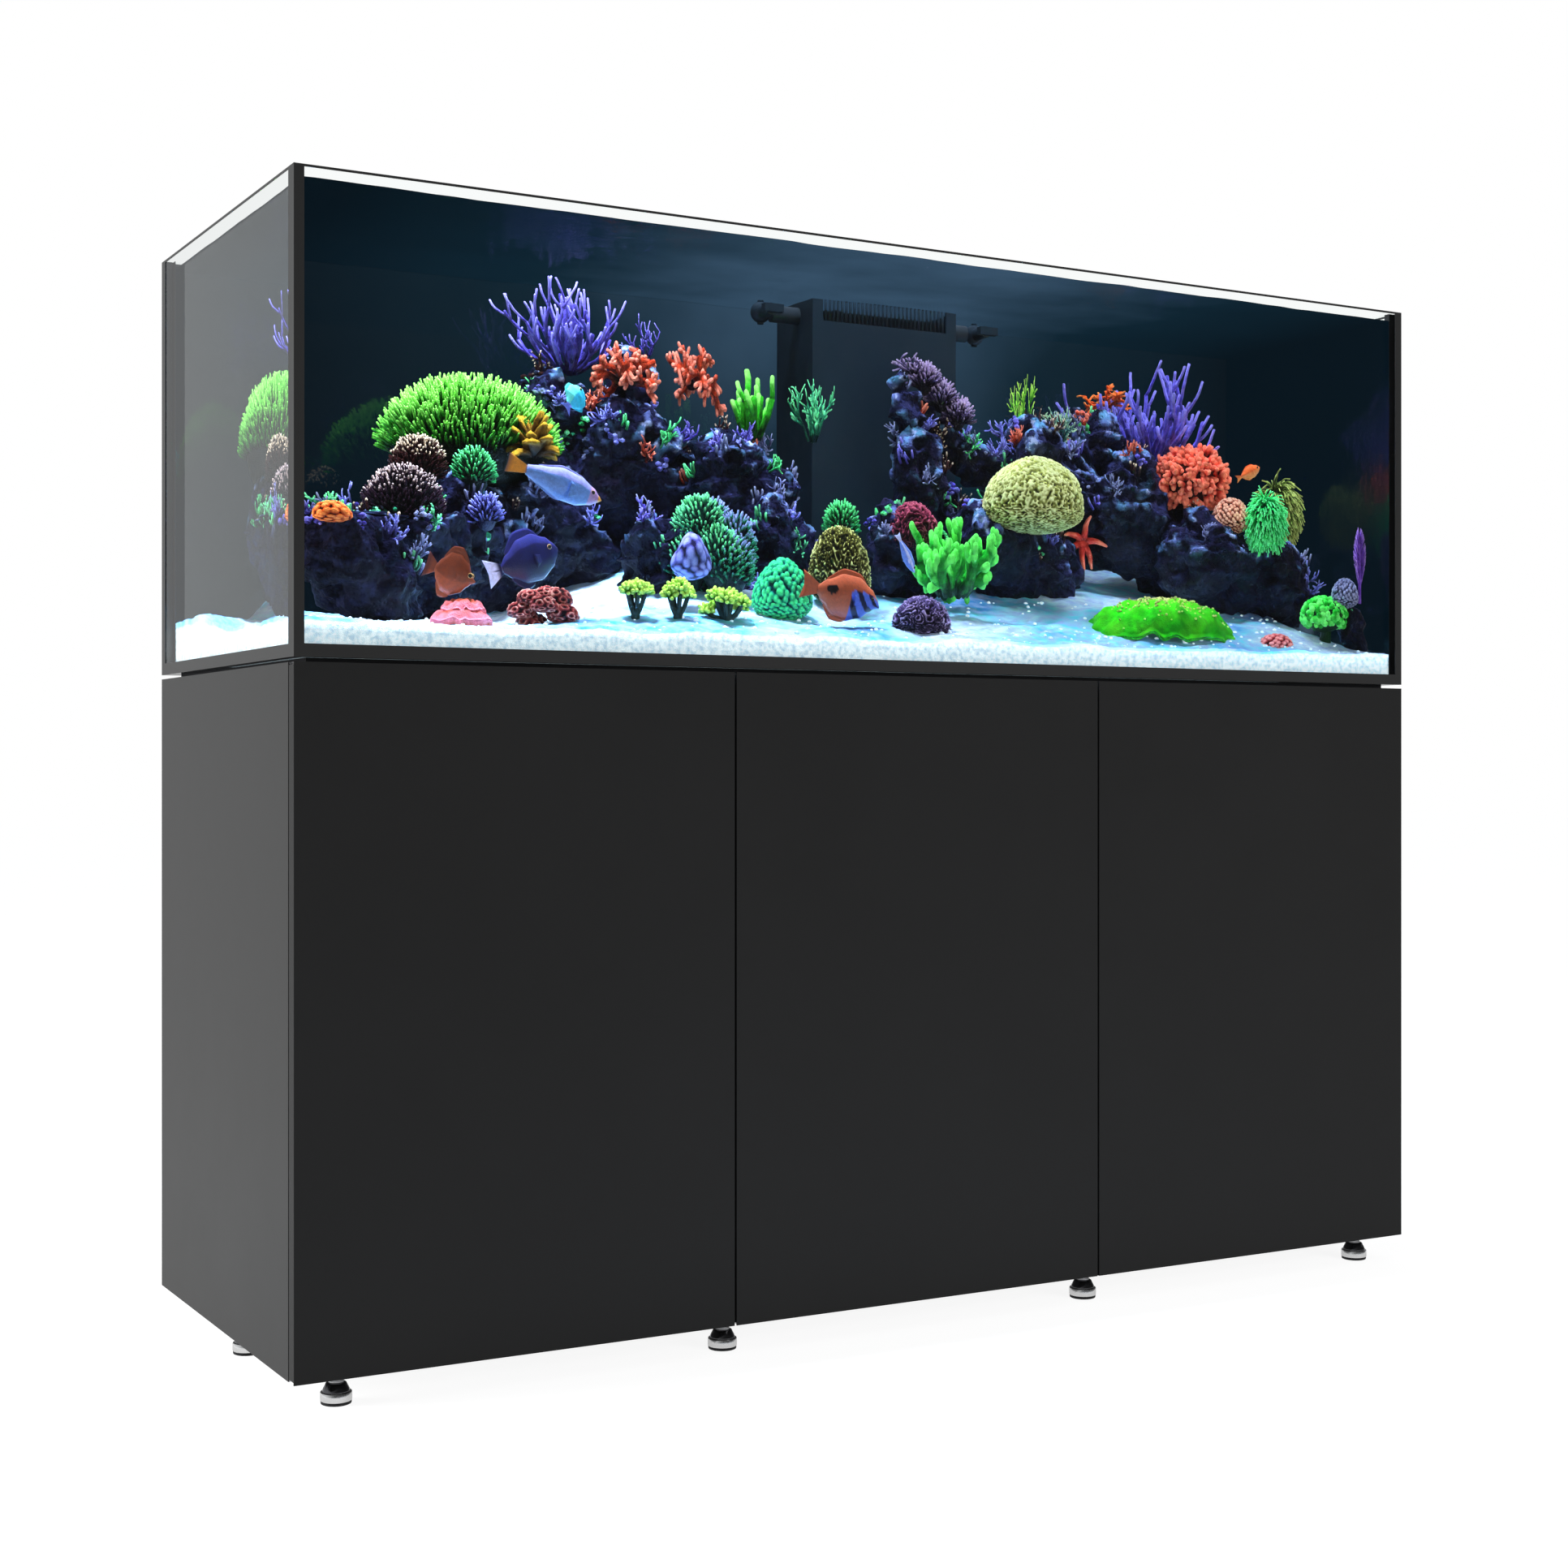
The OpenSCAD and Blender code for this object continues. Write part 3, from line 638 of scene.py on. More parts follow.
def filled_under(xs, ys, heights, floor, inset=0.0, step=0.0):
    """A solid between a height field and a flat floor; its lowest step is set in a little.

    Gives its points, the top's quads, the walls' quads, the floor's triangles and how many
    points are on top."""
    top = coords(*np.meshgrid(xs, ys), heights).reshape(-1, 3)
    quads = sheet_faces(len(xs), len(ys))
    edge = rim_of(len(xs), len(ys))
    rings = [top[edge]]
    centre = np.array([(xs[0] + xs[-1]) / 2, (ys[0] + ys[-1]) / 2])
    levels = [(floor + step, 0.0), (floor + step, inset), (floor, inset)] if step else [(floor, 0.0)]
    outward = top[edge][:, :2] - centre
    on_side = np.abs(outward) > centre - [xs[0], ys[0]] - 1e-6
    for level, pull in levels:
        ring = top[edge].copy()
        ring[:, :2] -= np.sign(outward) * pull * on_side
        ring[:, 2] = level
        rings.append(ring)
    n = len(edge)
    points = np.vstack([top, *rings[1:], [[*centre, floor]]])
    index = [edge] + [len(top) + k * n + np.arange(n) for k in range(len(rings) - 1)]
    walls = [np.stack([a, b, np.roll(b, -1), np.roll(a, -1)], axis=-1) for a, b in zip(index, index[1:])]
    tris = np.stack([index[-1], np.full(n, len(points) - 1), np.roll(index[-1], -1)], axis=-1)
    return points, quads, walls, tris, len(top)


def make_water():
    """The tank's water, with faint ripples; its back and bottom lie on the glass."""
    half, front, back = SIDE_INSIDE - 0.001, FRONT_INSIDE + 0.0002, FILM_FRONT + 0.0005
    xs, ys = np.linspace(-half, half, 220), np.linspace(front, back, 80)
    x, y = np.meshgrid(xs, ys)
    flat = coords(x, y, 0)
    heights = WATER_LEVEL + 0.0008 * soft_noise(flat, 0.07, 3) + 0.0004 * soft_noise(flat, 0.03, 4)
    points, quads, walls, tris, _ = filled_under(xs, ys, heights, TANK_FLOOR + 0.0003)
    shape = Shape()
    shape.add(points, np.vstack([quads, *walls]), tris)
    mesh = shape.mesh("water")
    mesh.materials.append(water_material())
    clear = Tree("water_on_glass")
    mesh.materials.append(clear.finish(clear.node("BsdfTransparent")))
    normals = read(mesh.polygons, "normal", 3)
    on_glass = (normals[:, 1] > 0.9) | (normals[:, 2] < -0.9)
    mesh.polygons.foreach_set("material_index", on_glass.astype(np.int32))
    mesh.polygons.foreach_set("use_smooth", np.abs(normals[:, 2]) > 0.9)
    finished(bpy.data.objects.new("water", mesh))


def sand_height(x, y):
    """Sand surface: rises to the back, with drifts and a wavy front edge."""
    lo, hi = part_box("sand_bed")
    deep = np.clip((y - lo.y) / (hi.y - lo.y), 0, 1)
    ends = smooth_step(x, -0.60, -0.25) * smooth_step(SIDE_INSIDE - x, 0.0, 0.12)
    rise = TANK_FLOOR + 0.036 + (hi.z - TANK_FLOOR - 0.036) * deep ** 0.92 * (0.15 + 0.85 * ends)
    flat = coords(x, y, 0)
    drift = 0.012 * rough_noise(flat, 0.22, 11, 3) * smooth_step(deep, 0.02, 0.25)
    return rise + drift + 0.0045 * soft_noise(flat, 0.07, 12) + 0.0014 * rough_noise(flat, 0.012, 13, 2)


def sand_material():
    """White aragonite: bright on top, a speckled section against the front pane; its sides carry a painted
    glow, brightest along the section's upper edge, while the open top barely glows.
    """
    t = Tree("sand")
    grains = t.cells(900)
    mottle = t.noise(60, 5)
    tint = t.ramp(t.noise(7, 3), (0.36, rgb("3f8fd0")), (0.47, rgb("6fd8ea")), (0.58, rgb("c4e6f4")),
                  (0.75, rgb("e6f0fa")))
    top = t.mix(t.mask(mottle, 0.3, 0.65), rgb("9cb4e4"), tint)
    section = t.mix(t.mask(t.noise(150, 5), 0.35, 0.6), rgb("b4ccdc"), rgb("e4f2f6"))
    section = t.mix(t.mask(t.cells(300), 0.02, 0.06), rgb("6f8298"), section)
    depth = t.attribute("tip")
    colour = t.mix(t.mask(depth, 0.80, 0.88), section, top)
    # Painted light: the sand's own glow, set by the depth value, strongest along the top of the front section
    painted_glow = t.ramp(depth, (0.0, 0.62), (0.78, 0.58), (0.86, 1.1), (0.98, 1.0), (1.0, 0.05))
    return t.surface(Base_Color=colour, Roughness=0.85, Emission_Color=colour, Emission_Strength=painted_glow,
                     Specular_IOR_Level=0.1, Normal=t.bump(t.math("ADD", grains, mottle), 0.0012, 0.6))


def make_sand():
    """The sand bed, and a sprinkle of coarse rubble on its open part."""
    half, front, back = SIDE_INSIDE - 0.0014, FRONT_INSIDE + 0.0008, BACK_INSIDE - 0.0008
    xs, ys = np.linspace(-half, half, 500), np.linspace(front, back, 180)
    x, y = np.meshgrid(xs, ys)
    points, quads, walls, tris, top = filled_under(xs, ys, sand_height(x, y), TANK_FLOOR + 0.0008,
                                                   0.0045, 0.0038)
    shape = Shape()
    depth = np.where(np.arange(len(points)) < top, 1.0, 0.0)
    depth[:top] -= 0.03 * (points[:top, 1] < front + 1e-6)
    shape.add(points, np.vstack([quads, *walls]), tris, tips=depth)
    shape.piece("sand", sand_material(), "sand", replaces=["sand_bed"])
    rng = np.random.default_rng(5)
    rubble = Shape()
    for _ in range(420):
        x, y = rng.uniform(-half + 0.01, half - 0.01), front + 0.008 + 0.26 * rng.random() ** 1.6
        size = rng.uniform(0.0012, 0.0035)
        lump(rubble, (x, y, float(sand_height(np.array(x), np.array(y))) + size * 0.3),
             (size * rng.uniform(0.8, 1.6), size, size * 0.7), rng, 1)
    rubble.piece("rubble", sand_material(), "sand")


def sphere_points(level):
    """Points and triangles of a unit icosphere."""
    mesh = bpy.data.meshes.new("ball")
    bm = bmesh.new()
    bmesh.ops.create_icosphere(bm, subdivisions=level, radius=1)
    bm.to_mesh(mesh)
    bm.free()
    points = read(mesh.vertices, "co", 3)
    tris = read(mesh.loops, "vertex_index", 1, np.int32).reshape(-1, 3)
    bpy.data.meshes.remove(mesh)
    return points, tris


BALLS = {level: sphere_points(level) for level in (1, 2, 3, 4, 5, 6)}


def lump(shape, centre, radii, rng, level=2, rough=0.25, tips=0.5):
    """A small uneven ball."""
    points, tris = BALLS[level]
    wobble = 1 + rough * soft_noise(points + rng.uniform(0, 50), 0.9, 7)
    shape.add(points * wobble[:, None] * radii + centre, tris=tris, tips=tips)


# ---- Rock ----

def rock_material():
    """Porous live rock, dark with crusted patches and nearly black in its hollows; painted lilac and blue
    highlights on its raised upward ledges, painted shade on undersides and low parts, and a faint painted
    glow.
    """
    t = Tree("live_rock")
    patches = t.noise(15, 5, distort=0.6)
    fine = t.noise(120, 6)
    crust = t.ramp(patches, (0.28, rgb("0a1824")), (0.42, rgb("0c0b1c")), (0.52, rgb("181a34")),
                   (0.62, rgb("100b18")), (0.75, rgb("0c2028")))
    light = t.mix(t.mask(t.noise(40, 4), 0.42, 0.62), rgb("545e90"), rgb("5484a4"))
    light = t.mix(t.mask(t.noise(75, 4), 0.55, 0.62), light, rgb("a8b4dc"))
    shade = t.mix(t.mask(fine, 0.38, 0.62), rgb("04040e"), crust)
    # Painted light: highlight colours where the height value is high, painted shade where it is low
    lit = t.math("MULTIPLY", t.mask(t.attribute("tip"), 0.46, 0.8), t.mask(t.noise(30, 5), 0.48, 0.58))
    colour = t.mix(lit, shade, light)
    pits = t.mask(t.cells(170), 0.0, 0.45)
    return t.surface(Base_Color=colour, Roughness=0.78, Emission_Color=colour, Emission_Strength=0.02,
                     Specular_IOR_Level=0.25, Normal=t.bump(t.mix(0.5, pits, fine), 0.004, 0.9))


ROCK_VOXEL = 0.0045  # size of the skin's faces
BOULDER_Y = 0.078  # depth of the boulders' centres
ROCK_SKIN = []


def rock_skin():
    """Points and normals of both rocks."""
    return [np.vstack(part) for part in zip(*ROCK_SKIN)]


def remeshed(node, boulders):
    """Points, normals and quads of a CAD solid and its boulders, rebuilt as one skin of small faces."""
    bm = bmesh.new()
    bm.from_mesh(NODES[node].data)
    for x, z, radius in boulders:
        bmesh.ops.create_icosphere(bm, subdivisions=3, radius=radius,
                                   matrix=Matrix.Translation((x, BOULDER_Y, z)))
    joined = bpy.data.meshes.new("work")
    bm.to_mesh(joined)
    bm.free()
    work = bpy.data.objects.new("work", joined)
    bpy.context.scene.collection.objects.link(work)
    modifier = work.modifiers.new("skin", "REMESH")
    modifier.mode = "VOXEL"
    modifier.voxel_size = ROCK_VOXEL
    graph = bpy.context.evaluated_depsgraph_get()
    mesh = bpy.data.meshes.new_from_object(work.evaluated_get(graph))
    points = read(mesh.vertices, "co", 3)
    normals = read(mesh.vertex_normals, "vector", 3)
    quads = read(mesh.loops, "vertex_index", 1, np.int32).reshape(-1, 4)
    bpy.data.objects.remove(work)
    return points, normals, quads


def craggy(points, normals, seed, by_coral):
    """Moves rock points to flat ledges, knobs and pits; gives the new points and a height from 0 to 1 that
    paints light and shade: higher on knobs, ledges, upward faces and the upper rock, lower in pits, on
    undersides and low down.
    """
    layer = (points[:, 2] / 0.026 + 1.4 * soft_noise(points, 0.15, seed)
             + 0.5 * soft_noise(points, 0.05, seed + 2))
    ledge = (layer % 1.0) ** 1.5 * np.clip(0.4 + soft_noise(points, 0.10, seed + 5) * 2.5, 0, 1)
    sideways = 1 - np.abs(normals[:, 2])
    shift = 0.016 * rough_noise(points, 0.085, seed + 1, 2) + 0.012 * (ledge - 0.4) * sideways
    knobs = (0.007 * (1 - 2.4 * np.abs(soft_noise(points, 0.030, seed + 3)))
             + 0.006 * rough_noise(points, 0.014, seed + 4, 2))
    pits = -0.017 * smooth_step(soft_noise(points, 0.034, seed + 7), 0.22, 0.5)
    push = shift + knobs + pits
    moved = points + normals * np.where(by_coral, np.minimum(push, -0.004), push)[:, None]
    height = np.clip(0.55 + (knobs + pits) / 0.02 + 0.35 * (ledge - 0.4) * sideways, 0, 1)
    # Painted light and shade: upward faces and the upper rock get higher values, undersides and low parts
    # lower
    height *= 0.3 + 0.7 * np.clip(normals[:, 2] * 0.8 + 0.55, 0, 1)
    height *= 0.62 + 0.38 * smooth_step(points[:, 2], 1.0, 1.2)
    # The outer left end stays a low ledge
    low_end = 1 - smooth_step(moved[:, 0], -0.68, -0.60 - 0.06 * smooth_step(moved[:, 1], 0.0, 0.05))
    above = np.maximum(moved[:, 2] - 1.098, 0)
    moved[:, 2] -= above * 0.85 * low_end
    return moved, height


def kept_inside(points):
    """Holds points inside the panes and clear of the weir box."""
    weir_lo, weir_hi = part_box("overflow_box")
    points[:, 0] = np.clip(points[:, 0], -SIDE_INSIDE + 0.004, SIDE_INSIDE - 0.004)
    points[:, 1] = np.clip(points[:, 1], FRONT_INSIDE + 0.003, BACK_INSIDE - 0.003)
    by_weir = (points[:, 0] > weir_lo.x - 0.004) & (points[:, 0] < weir_hi.x + 0.004)
    points[:, 1] = np.where(by_weir, np.minimum(points[:, 1], weir_lo.y - 0.003), points[:, 1])
    return points


def make_rocks():
    """Both rocks as crags that keep off the corals on them."""
    material = rock_material()
    # The arm that slopes down from the tall spur to the main mass of the right rock
    arm = [(0.172, 1.318, 0.028), (0.204, 1.288, 0.031), (0.238, 1.264, 0.034), (0.276, 1.246, 0.038),
           (0.316, 1.236, 0.043)]
    for seed, node, boulders in ((20, "rock_left", ()), (40, "rock_right", arm)):
        points, normals, quads = remeshed(node, boulders)
        by_coral = np.zeros(len(points), bool)
        for low, high in solids("brain_corals") + solids("table_coral") + solids("branch_corals"):
            centre, reach = (low + high) / 2, (high - low) / 2 + 0.010
            by_coral |= (((points - centre) / reach) ** 2).sum(1) < 1
        points, height = craggy(points, normals, seed, by_coral)
        shape = Shape()
        shape.add(kept_inside(points), quads, tips=height)
        shape.piece(node + "_crags", material, "live_rock", replaces=[node])
        ROCK_SKIN.append((points, normals))


# ---- Coral forms ----

@dataclass
class Growth:
    """How a colony branches: lift, wander, taper, children a branch, their angle and shrink."""

    lift: float = 0.15
    wander: float = 0.12
    taper: float = 0.6
    children: int = 3
    angle: tuple = (0.35, 0.8)
    shrink: float = 0.62
    sides: int = 7
    steps: int = 6


def grow(shape, rng, growth, start, heading, length, radius, levels, tip=0.15):
    """One branch, and its children for as many levels as are left."""
    steps = growth.steps
    path = [np.asarray(start, float)]
    heading = unit(heading)
    headings = [heading]
    for _ in range(steps - 1):
        heading = unit(heading + np.array([0, 0, growth.lift]) + rng.normal(0, growth.wander, 3))
        path.append(path[-1] + heading * length / (steps - 1))
        headings.append(heading)
    radii = radius * np.linspace(1, growth.taper, steps)
    end = 1.0 if levels == 0 else tip + 0.3
    tube(shape, path, radii, growth.sides, np.linspace(tip, end, steps))
    if levels == 0:
        return
    for _ in range(growth.children):
        at = min(int(rng.uniform(0.3, 1.0) * steps), steps - 1)
        side = unit(np.cross(headings[at], rng.normal(0, 1, 3)))
        angle = rng.uniform(*growth.angle)
        new = headings[at] * math.cos(angle) + side * math.sin(angle)
        grow(shape, rng, growth, path[at], new, length * growth.shrink * rng.uniform(0.75, 1.2),
             radii[at] * 0.86, levels - 1, tip + 0.2)


def colony(rng, growth, trunks, length, radius, levels, tilt=(0.1, 1.1), foot=0.01):
    """Trunks that fan out from a small foot."""
    shape = Shape()
    for k in range(trunks):
        turn = 2 * math.pi * (k + rng.uniform(-0.3, 0.3)) / trunks
        out = math.sqrt((k * 0.618) % 1)
        lean = tilt[0] + (tilt[1] - tilt[0]) * out
        start = (foot * out * math.cos(turn), foot * out * math.sin(turn), 0)
        grow(shape, rng, growth, start, toward(turn, lean), length * rng.uniform(0.75, 1.1), radius, levels)
    return shape


GOLDEN_TURN = 2.39996  # radians between neighbours in an even spiral


def spread_points(count, rng, lowest, jitter=0.35):
    """Even, slightly shaken directions over the top of a ball."""
    k = np.arange(count) + 0.5
    z = 1 - (1 - lowest) * k / count
    turn = k * GOLDEN_TURN
    r = np.sqrt(np.maximum(1 - z * z, 0))
    points = coords(r * np.cos(turn), r * np.sin(turn), z)
    return unit(points + rng.normal(0, jitter / math.sqrt(count), points.shape))


def brush(rng, box, count, length, radius, lowest=-0.15, base=0.0):
    """A dome covered with short upright fingers; base lifts its widest part, as a share of the height."""
    centre = at_share(box, base)
    radii = (box[1] - box[0]) * [0.5, 0.5, 1 - base] - length * 0.8
    shape = Shape()
    # The core between the fingers takes the darkest colour: painted shade
    lump(shape, centre, radii * 0.97, rng, 4, 0.05, tips=0.0)
    for d in spread_points(count, rng, lowest):
        start = centre + d * radii * 0.93
        out = unit(d / radii * radii.mean() + rng.normal(0, 0.16, 3) + np.array([0, 0, 0.3]))
        bend = unit(out + np.array([0, 0, 0.35]) + rng.normal(0, 0.12, 3))
        size = length * rng.uniform(0.75, 1.25)
        lit = 0.6 + 0.4 * min(max((d[2] + 0.15) / 0.75, 0), 1)
        path = [start, start + out * size * 0.5, start + out * size * 0.5 + bend * size * 0.35,
                start + out * size * 0.5 + bend * size * 0.65]
        tube(shape, path, radius * np.array([1.15, 1.0, 0.95, 0.85]) * rng.uniform(0.85, 1.15), 6,
             np.array([0.0, 0.45, 0.85, 1.0]) * lit)
    return shape


def nearest(points, centres):
    """Distance from each point to its nearest centre."""
    best = np.full(len(points), 9.0)
    for start in range(0, len(centres), 64):
        part = centres[start:start + 64]
        gap = 2 - 2 * points @ part.T
        best = np.minimum(best, gap.min(1))
    return np.sqrt(np.maximum(best, 0))


def dome(rng, box, pattern, relief, level=6, count=260, wave=0.16, wobble=0.06):
    """A rounded head; its skin carries knobs, cups or a maze of ridges."""
    squash = 0.45  # height of its underside, as a share of that of its top
    centre = at_share(box, squash / (1 + squash))
    radii = (box[1] - box[0]) / [2, 2, 1 + squash] - relief
    ball, tris = BALLS[level]
    seed = int(rng.integers(1000))
    if pattern == "knobs":
        reach = 2.2 / math.sqrt(count)
        near = nearest(ball, spread_points(count, rng, -1, 0.5)) / reach
        height = np.sqrt(np.clip(1 - near ** 2, 0, 1))
    elif pattern == "cups":
        reach = 2.0 / math.sqrt(count)
        near = nearest(ball, spread_points(count, rng, -1, 0.35)) / reach
        height = np.clip(1 - np.abs(near - 0.62) * 2.4, 0, 1)
    else:
        field = rough_noise(ball + 5, wave * 2.2, seed, 2)
        height = np.abs(np.sin(field * math.pi / wave * 0.55))
        height = 1 - height if pattern == "maze" else height
    outer = 1 + wobble * soft_noise(ball, 0.7, seed + 5)
    points = ball * outer[:, None] * radii + ball * (height * relief)[:, None]
    points[:, 2] = np.where(points[:, 2] < 0, points[:, 2] * squash, points[:, 2])
    shape = Shape()
    shape.add(points + centre, tris=tris, tips=height)
    return shape


def plate(box, ruffles, rise, bumps, thick=0.004, rings=26, sides=220):
    """A ruffled leaf of coral that droops to its rim."""
    low, high = box
    size = (high - low) / [2, 2, 1]
    rho = np.linspace(0.0, 1.0, rings)[1:]
    r, a = np.meshgrid(rho, full_turn(sides), indexing="ij")
    lobes = sum(math.sin(1.7 * k + 1) * np.sin(k * a + 2.1 * k) / k for k in (2, 3, 5))
    edge = 1 + 0.05 * lobes + 0.025 * np.sin(ruffles * 2 * a) * r ** 3
    x, y = r * edge * np.cos(a), r * edge * np.sin(a)
    fold = 0.05 * np.sin(ruffles * a + 1.3 * np.sin(3 * a)) * r ** 4
    z = rise * (1 - 0.38 * r ** 2 - 0.5 * r ** 7) + fold
    z = z + bumps * soft_noise(coords(x, y, 0), 0.16, 31)
    points = coords(x, y, z).reshape(-1, 3)
    lowest, tall = points[:, 2].min(), points[:, 2].max() - points[:, 2].min()

    def put(p, drop):
        """Places points of the unit leaf in the box, a little lower for its underside."""
        q = np.array(p, float)
        q[:, 2] = (q[:, 2] - lowest) / tall * 0.95 + 0.05
        q = q * size * [0.96, 0.96, 1.0]
        q[:, 2] -= drop
        return q + [*((low + high) / 2)[:2], low[2]]

    middle = np.array([[0, 0, rise]])
    sheets = [put(p, drop) for drop in (0.0, thick) for p in (points, middle)]
    n = len(points)
    quads = ring_faces(rings - 1, sides)
    j = np.arange(sides)
    k = (j + 1) % sides
    tris = np.stack([j, k, np.full(sides, n)], axis=-1)
    last = (rings - 2) * sides
    rim = np.stack([last + j, last + j + n + 1, last + k + n + 1, last + k], axis=-1)
    tips = np.concatenate([r.ravel(), [0.0]])
    shape = Shape()
    # The underside takes darker colours: painted shade under the leaf
    shape.add(np.vstack(sheets), np.vstack([quads, quads[:, ::-1] + n + 1, rim]),
              np.vstack([tris, tris[:, ::-1] + n + 1]), np.concatenate([tips, tips * 0.6]))
    return shape


# ---- Coral colours: hollow (partly painted shade), flank and tip, with the strength of their painted glow ----

PALETTES = {
    "violet": ("120e30", "453c94", "8a82dc", 0.10),
    "red_orange": ("1c0604", "8c2812", "e08068", 0.07),
    "brush_green": ("020602", "1a6a10", "94ec64", 0.08),
    "golden": ("0c0602", "4a300c", "94701e", 0.04),
    "neon_green": ("041604", "28981a", "98f070", 0.12),
    "teal_green": ("041814", "1f7450", "7ce8a0", 0.12),
    "cream_tipped": ("060406", "2e1414", "dcc4a8", 0.04),
    "lilac_tipped": ("050408", "2c1a28", "ccb4b0", 0.04),
    "small_green": ("04140c", "1c7c40", "6ce890", 0.12),
    "lilac": ("141230", "4c4a90", "8f92dc", 0.08),
    "ringed_red": ("12040a", "8a3030", "e0a898", 0.06),
    "corymb": ("060a14", "1f7a50", "8c94cc", 0.07),
    "teal_brain": ("063038", "128460", "44d47c", 0.12),
    "black_gold": ("040402", "3c3a10", "e0e090", 0.06),
    "folded_purple": ("080612", "3c3054", "ac98c0", 0.05),
    "maroon": ("100308", "581a2a", "9c4c5c", 0.05),
    "cream_brain": ("101406", "84863c", "e8eaa8", 0.08),
    "red_dome": ("180206", "982c34", "e89490", 0.08),
    "honeycomb": ("180806", "a0503c", "ffc8a8", 0.08),
    "grey": ("0c0e1a", "4a4e74", "9498bc", 0.04),
    "leaf_green": ("54a818", "1c940c", "0a5a06", 0.06),
    "pink_plate": ("7a3c1c", "a84838", "f07c8c", 0.05),
    "tree_green": ("0c1806", "3f9014", "c4ee68", 0.10),
    "tree_stem": ("0c1412", "2a403e", "56807c", 0.03),
    "leather_green": ("031c08", "148c22", "6cec64", 0.10),
    "anemone": ("02301c", "14b454", "70f8a0", 0.16),
    "bubble_green": ("04240c", "1cae2c", "78f878", 0.14),
    "tentacle": ("080a04", "4a5a1e", "c8d478", 0.06),
    "sea_pen": ("1c0c3c", "6a3cae", "b48ae4", 0.12),
    "red_cluster": ("200404", "b82c20", "f88468", 0.10),
    "mixed": ("0a1018", "2c5c54", "b4d4a8", 0.08),
    "purple_brown": ("0a0610", "3c3050", "bca4c8", 0.06),
    "orange": ("280802", "bc4414", "f49048", 0.10),
}


@functools.cache
def tissue(name):
    """The one material of a palette: coloured by height, partly the coral's own colours and partly painted
    shade that darkens its hollows, with a painted glow and fine pores.
    """
    hollow, flank, tip, painted_glow = PALETTES[name]
    t = Tree(name)
    mottle = t.noise(95, 4)
    height = t.math("ADD", t.attribute("tip"), t.scaled(mottle, 0.3, 0.7, -0.16, 0.16))
    edge = 0.86 if name.endswith("_tipped") else 0.6
    # Partly painted shade: low values take the dark hollow colour
    colour = t.ramp(height, (0.18, rgb(hollow)), (edge, rgb(flank)), (0.98, rgb(tip)))
    colour = t.mix(t.ramp(t.noise(26, 3), (0.42, 0.0), (0.75, 0.35)), colour, rgb(hollow))
    return t.surface(Base_Color=colour, Roughness=0.5, Emission_Color=colour, Emission_Strength=painted_glow,
                     Specular_IOR_Level=0.3, Normal=t.bump(t.cells(520), 0.0012, 0.8))


def branched(rng, box, growth, **plan):
    """A branching colony that fills a box."""
    return colony(rng, growth, **plan).fit(*box)


def leafy(rng, box):
    """Thin curled leaves round a middle."""
    shape = Shape()
    for _ in range(26):
        turn = rng.uniform(0, 2 * math.pi)
        heading = toward(turn, rng.uniform(0.2, 1.35))
        side = unit(np.cross(heading, [0, 0, 1]))
        width = np.array([0.1, 0.22, 0.3, 0.26, 0.14]) * rng.uniform(0.7, 1.3)
        along = np.linspace(0.15, 1, 5)
        curl = unit(np.cross(side, heading))
        spine = along[:, None] * heading + (along ** 3)[:, None] * curl * -0.25
        left, right = spine - side * width[:, None], spine + side * width[:, None]
        thick = curl * 0.03
        points = np.vstack([left + thick, spine + thick * 3, right + thick, left - thick, right - thick])
        strips = [(0, 5, 6, 1), (5, 10, 11, 6), (15, 16, 21, 20), (0, 1, 16, 15), (10, 20, 21, 11)]
        quads = [np.add(strip, i) for strip in strips for i in range(4)]
        ends = [[0, 15, 20, 10], [4, 14, 24, 19]]
        shape.add(points, quads + ends, [[0, 10, 5], [4, 9, 14]], np.tile(np.linspace(0.1, 1, 5), 5))
    return shape.fit(*box)


def tree(rng, box):
    """A thin trunk and limbs, and the heads of round-ended knobs they carry."""
    foot = at_share(box)
    wide, _, tall = (box[1] - box[0]) * [0.5, 0.5, 1]
    stem, crown = Shape(), Shape()
    heads = 6 if wide < 0.035 else 10
    reach = 0.0128
    for k in range(heads):
        turn = GOLDEN_TURN * k
        out = (wide - reach * 0.9) * math.sqrt((k + 0.3) / heads)
        lift = tall * (0.99 - 0.45 * (out / wide) ** 2 * rng.uniform(0.2, 1.6)) - reach
        head = foot + [out * math.cos(turn), out * math.sin(turn), lift]
        mid = foot + [out * 0.2 * math.cos(turn), out * 0.2 * math.sin(turn), tall * 0.3]
        tube(stem, [foot, mid, (mid + head) / 2 + [0, 0, -0.003], head],
             np.array([0.0052, 0.0042, 0.0034, 0.0032]), 8, 0.5)
        for d in spread_points(26, rng, -0.35, 0.8):
            bend = unit(d + [0, 0, 0.5])
            size = reach * rng.uniform(0.75, 1.1)
            tube(crown, [head, head + d * size * 0.5, head + d * size * 0.6 + bend * size * 0.4],
                 np.array([0.0016, 0.0021, 0.0027]), 7, np.array([0.1, 0.5, 1.0]))
    return stem, crown


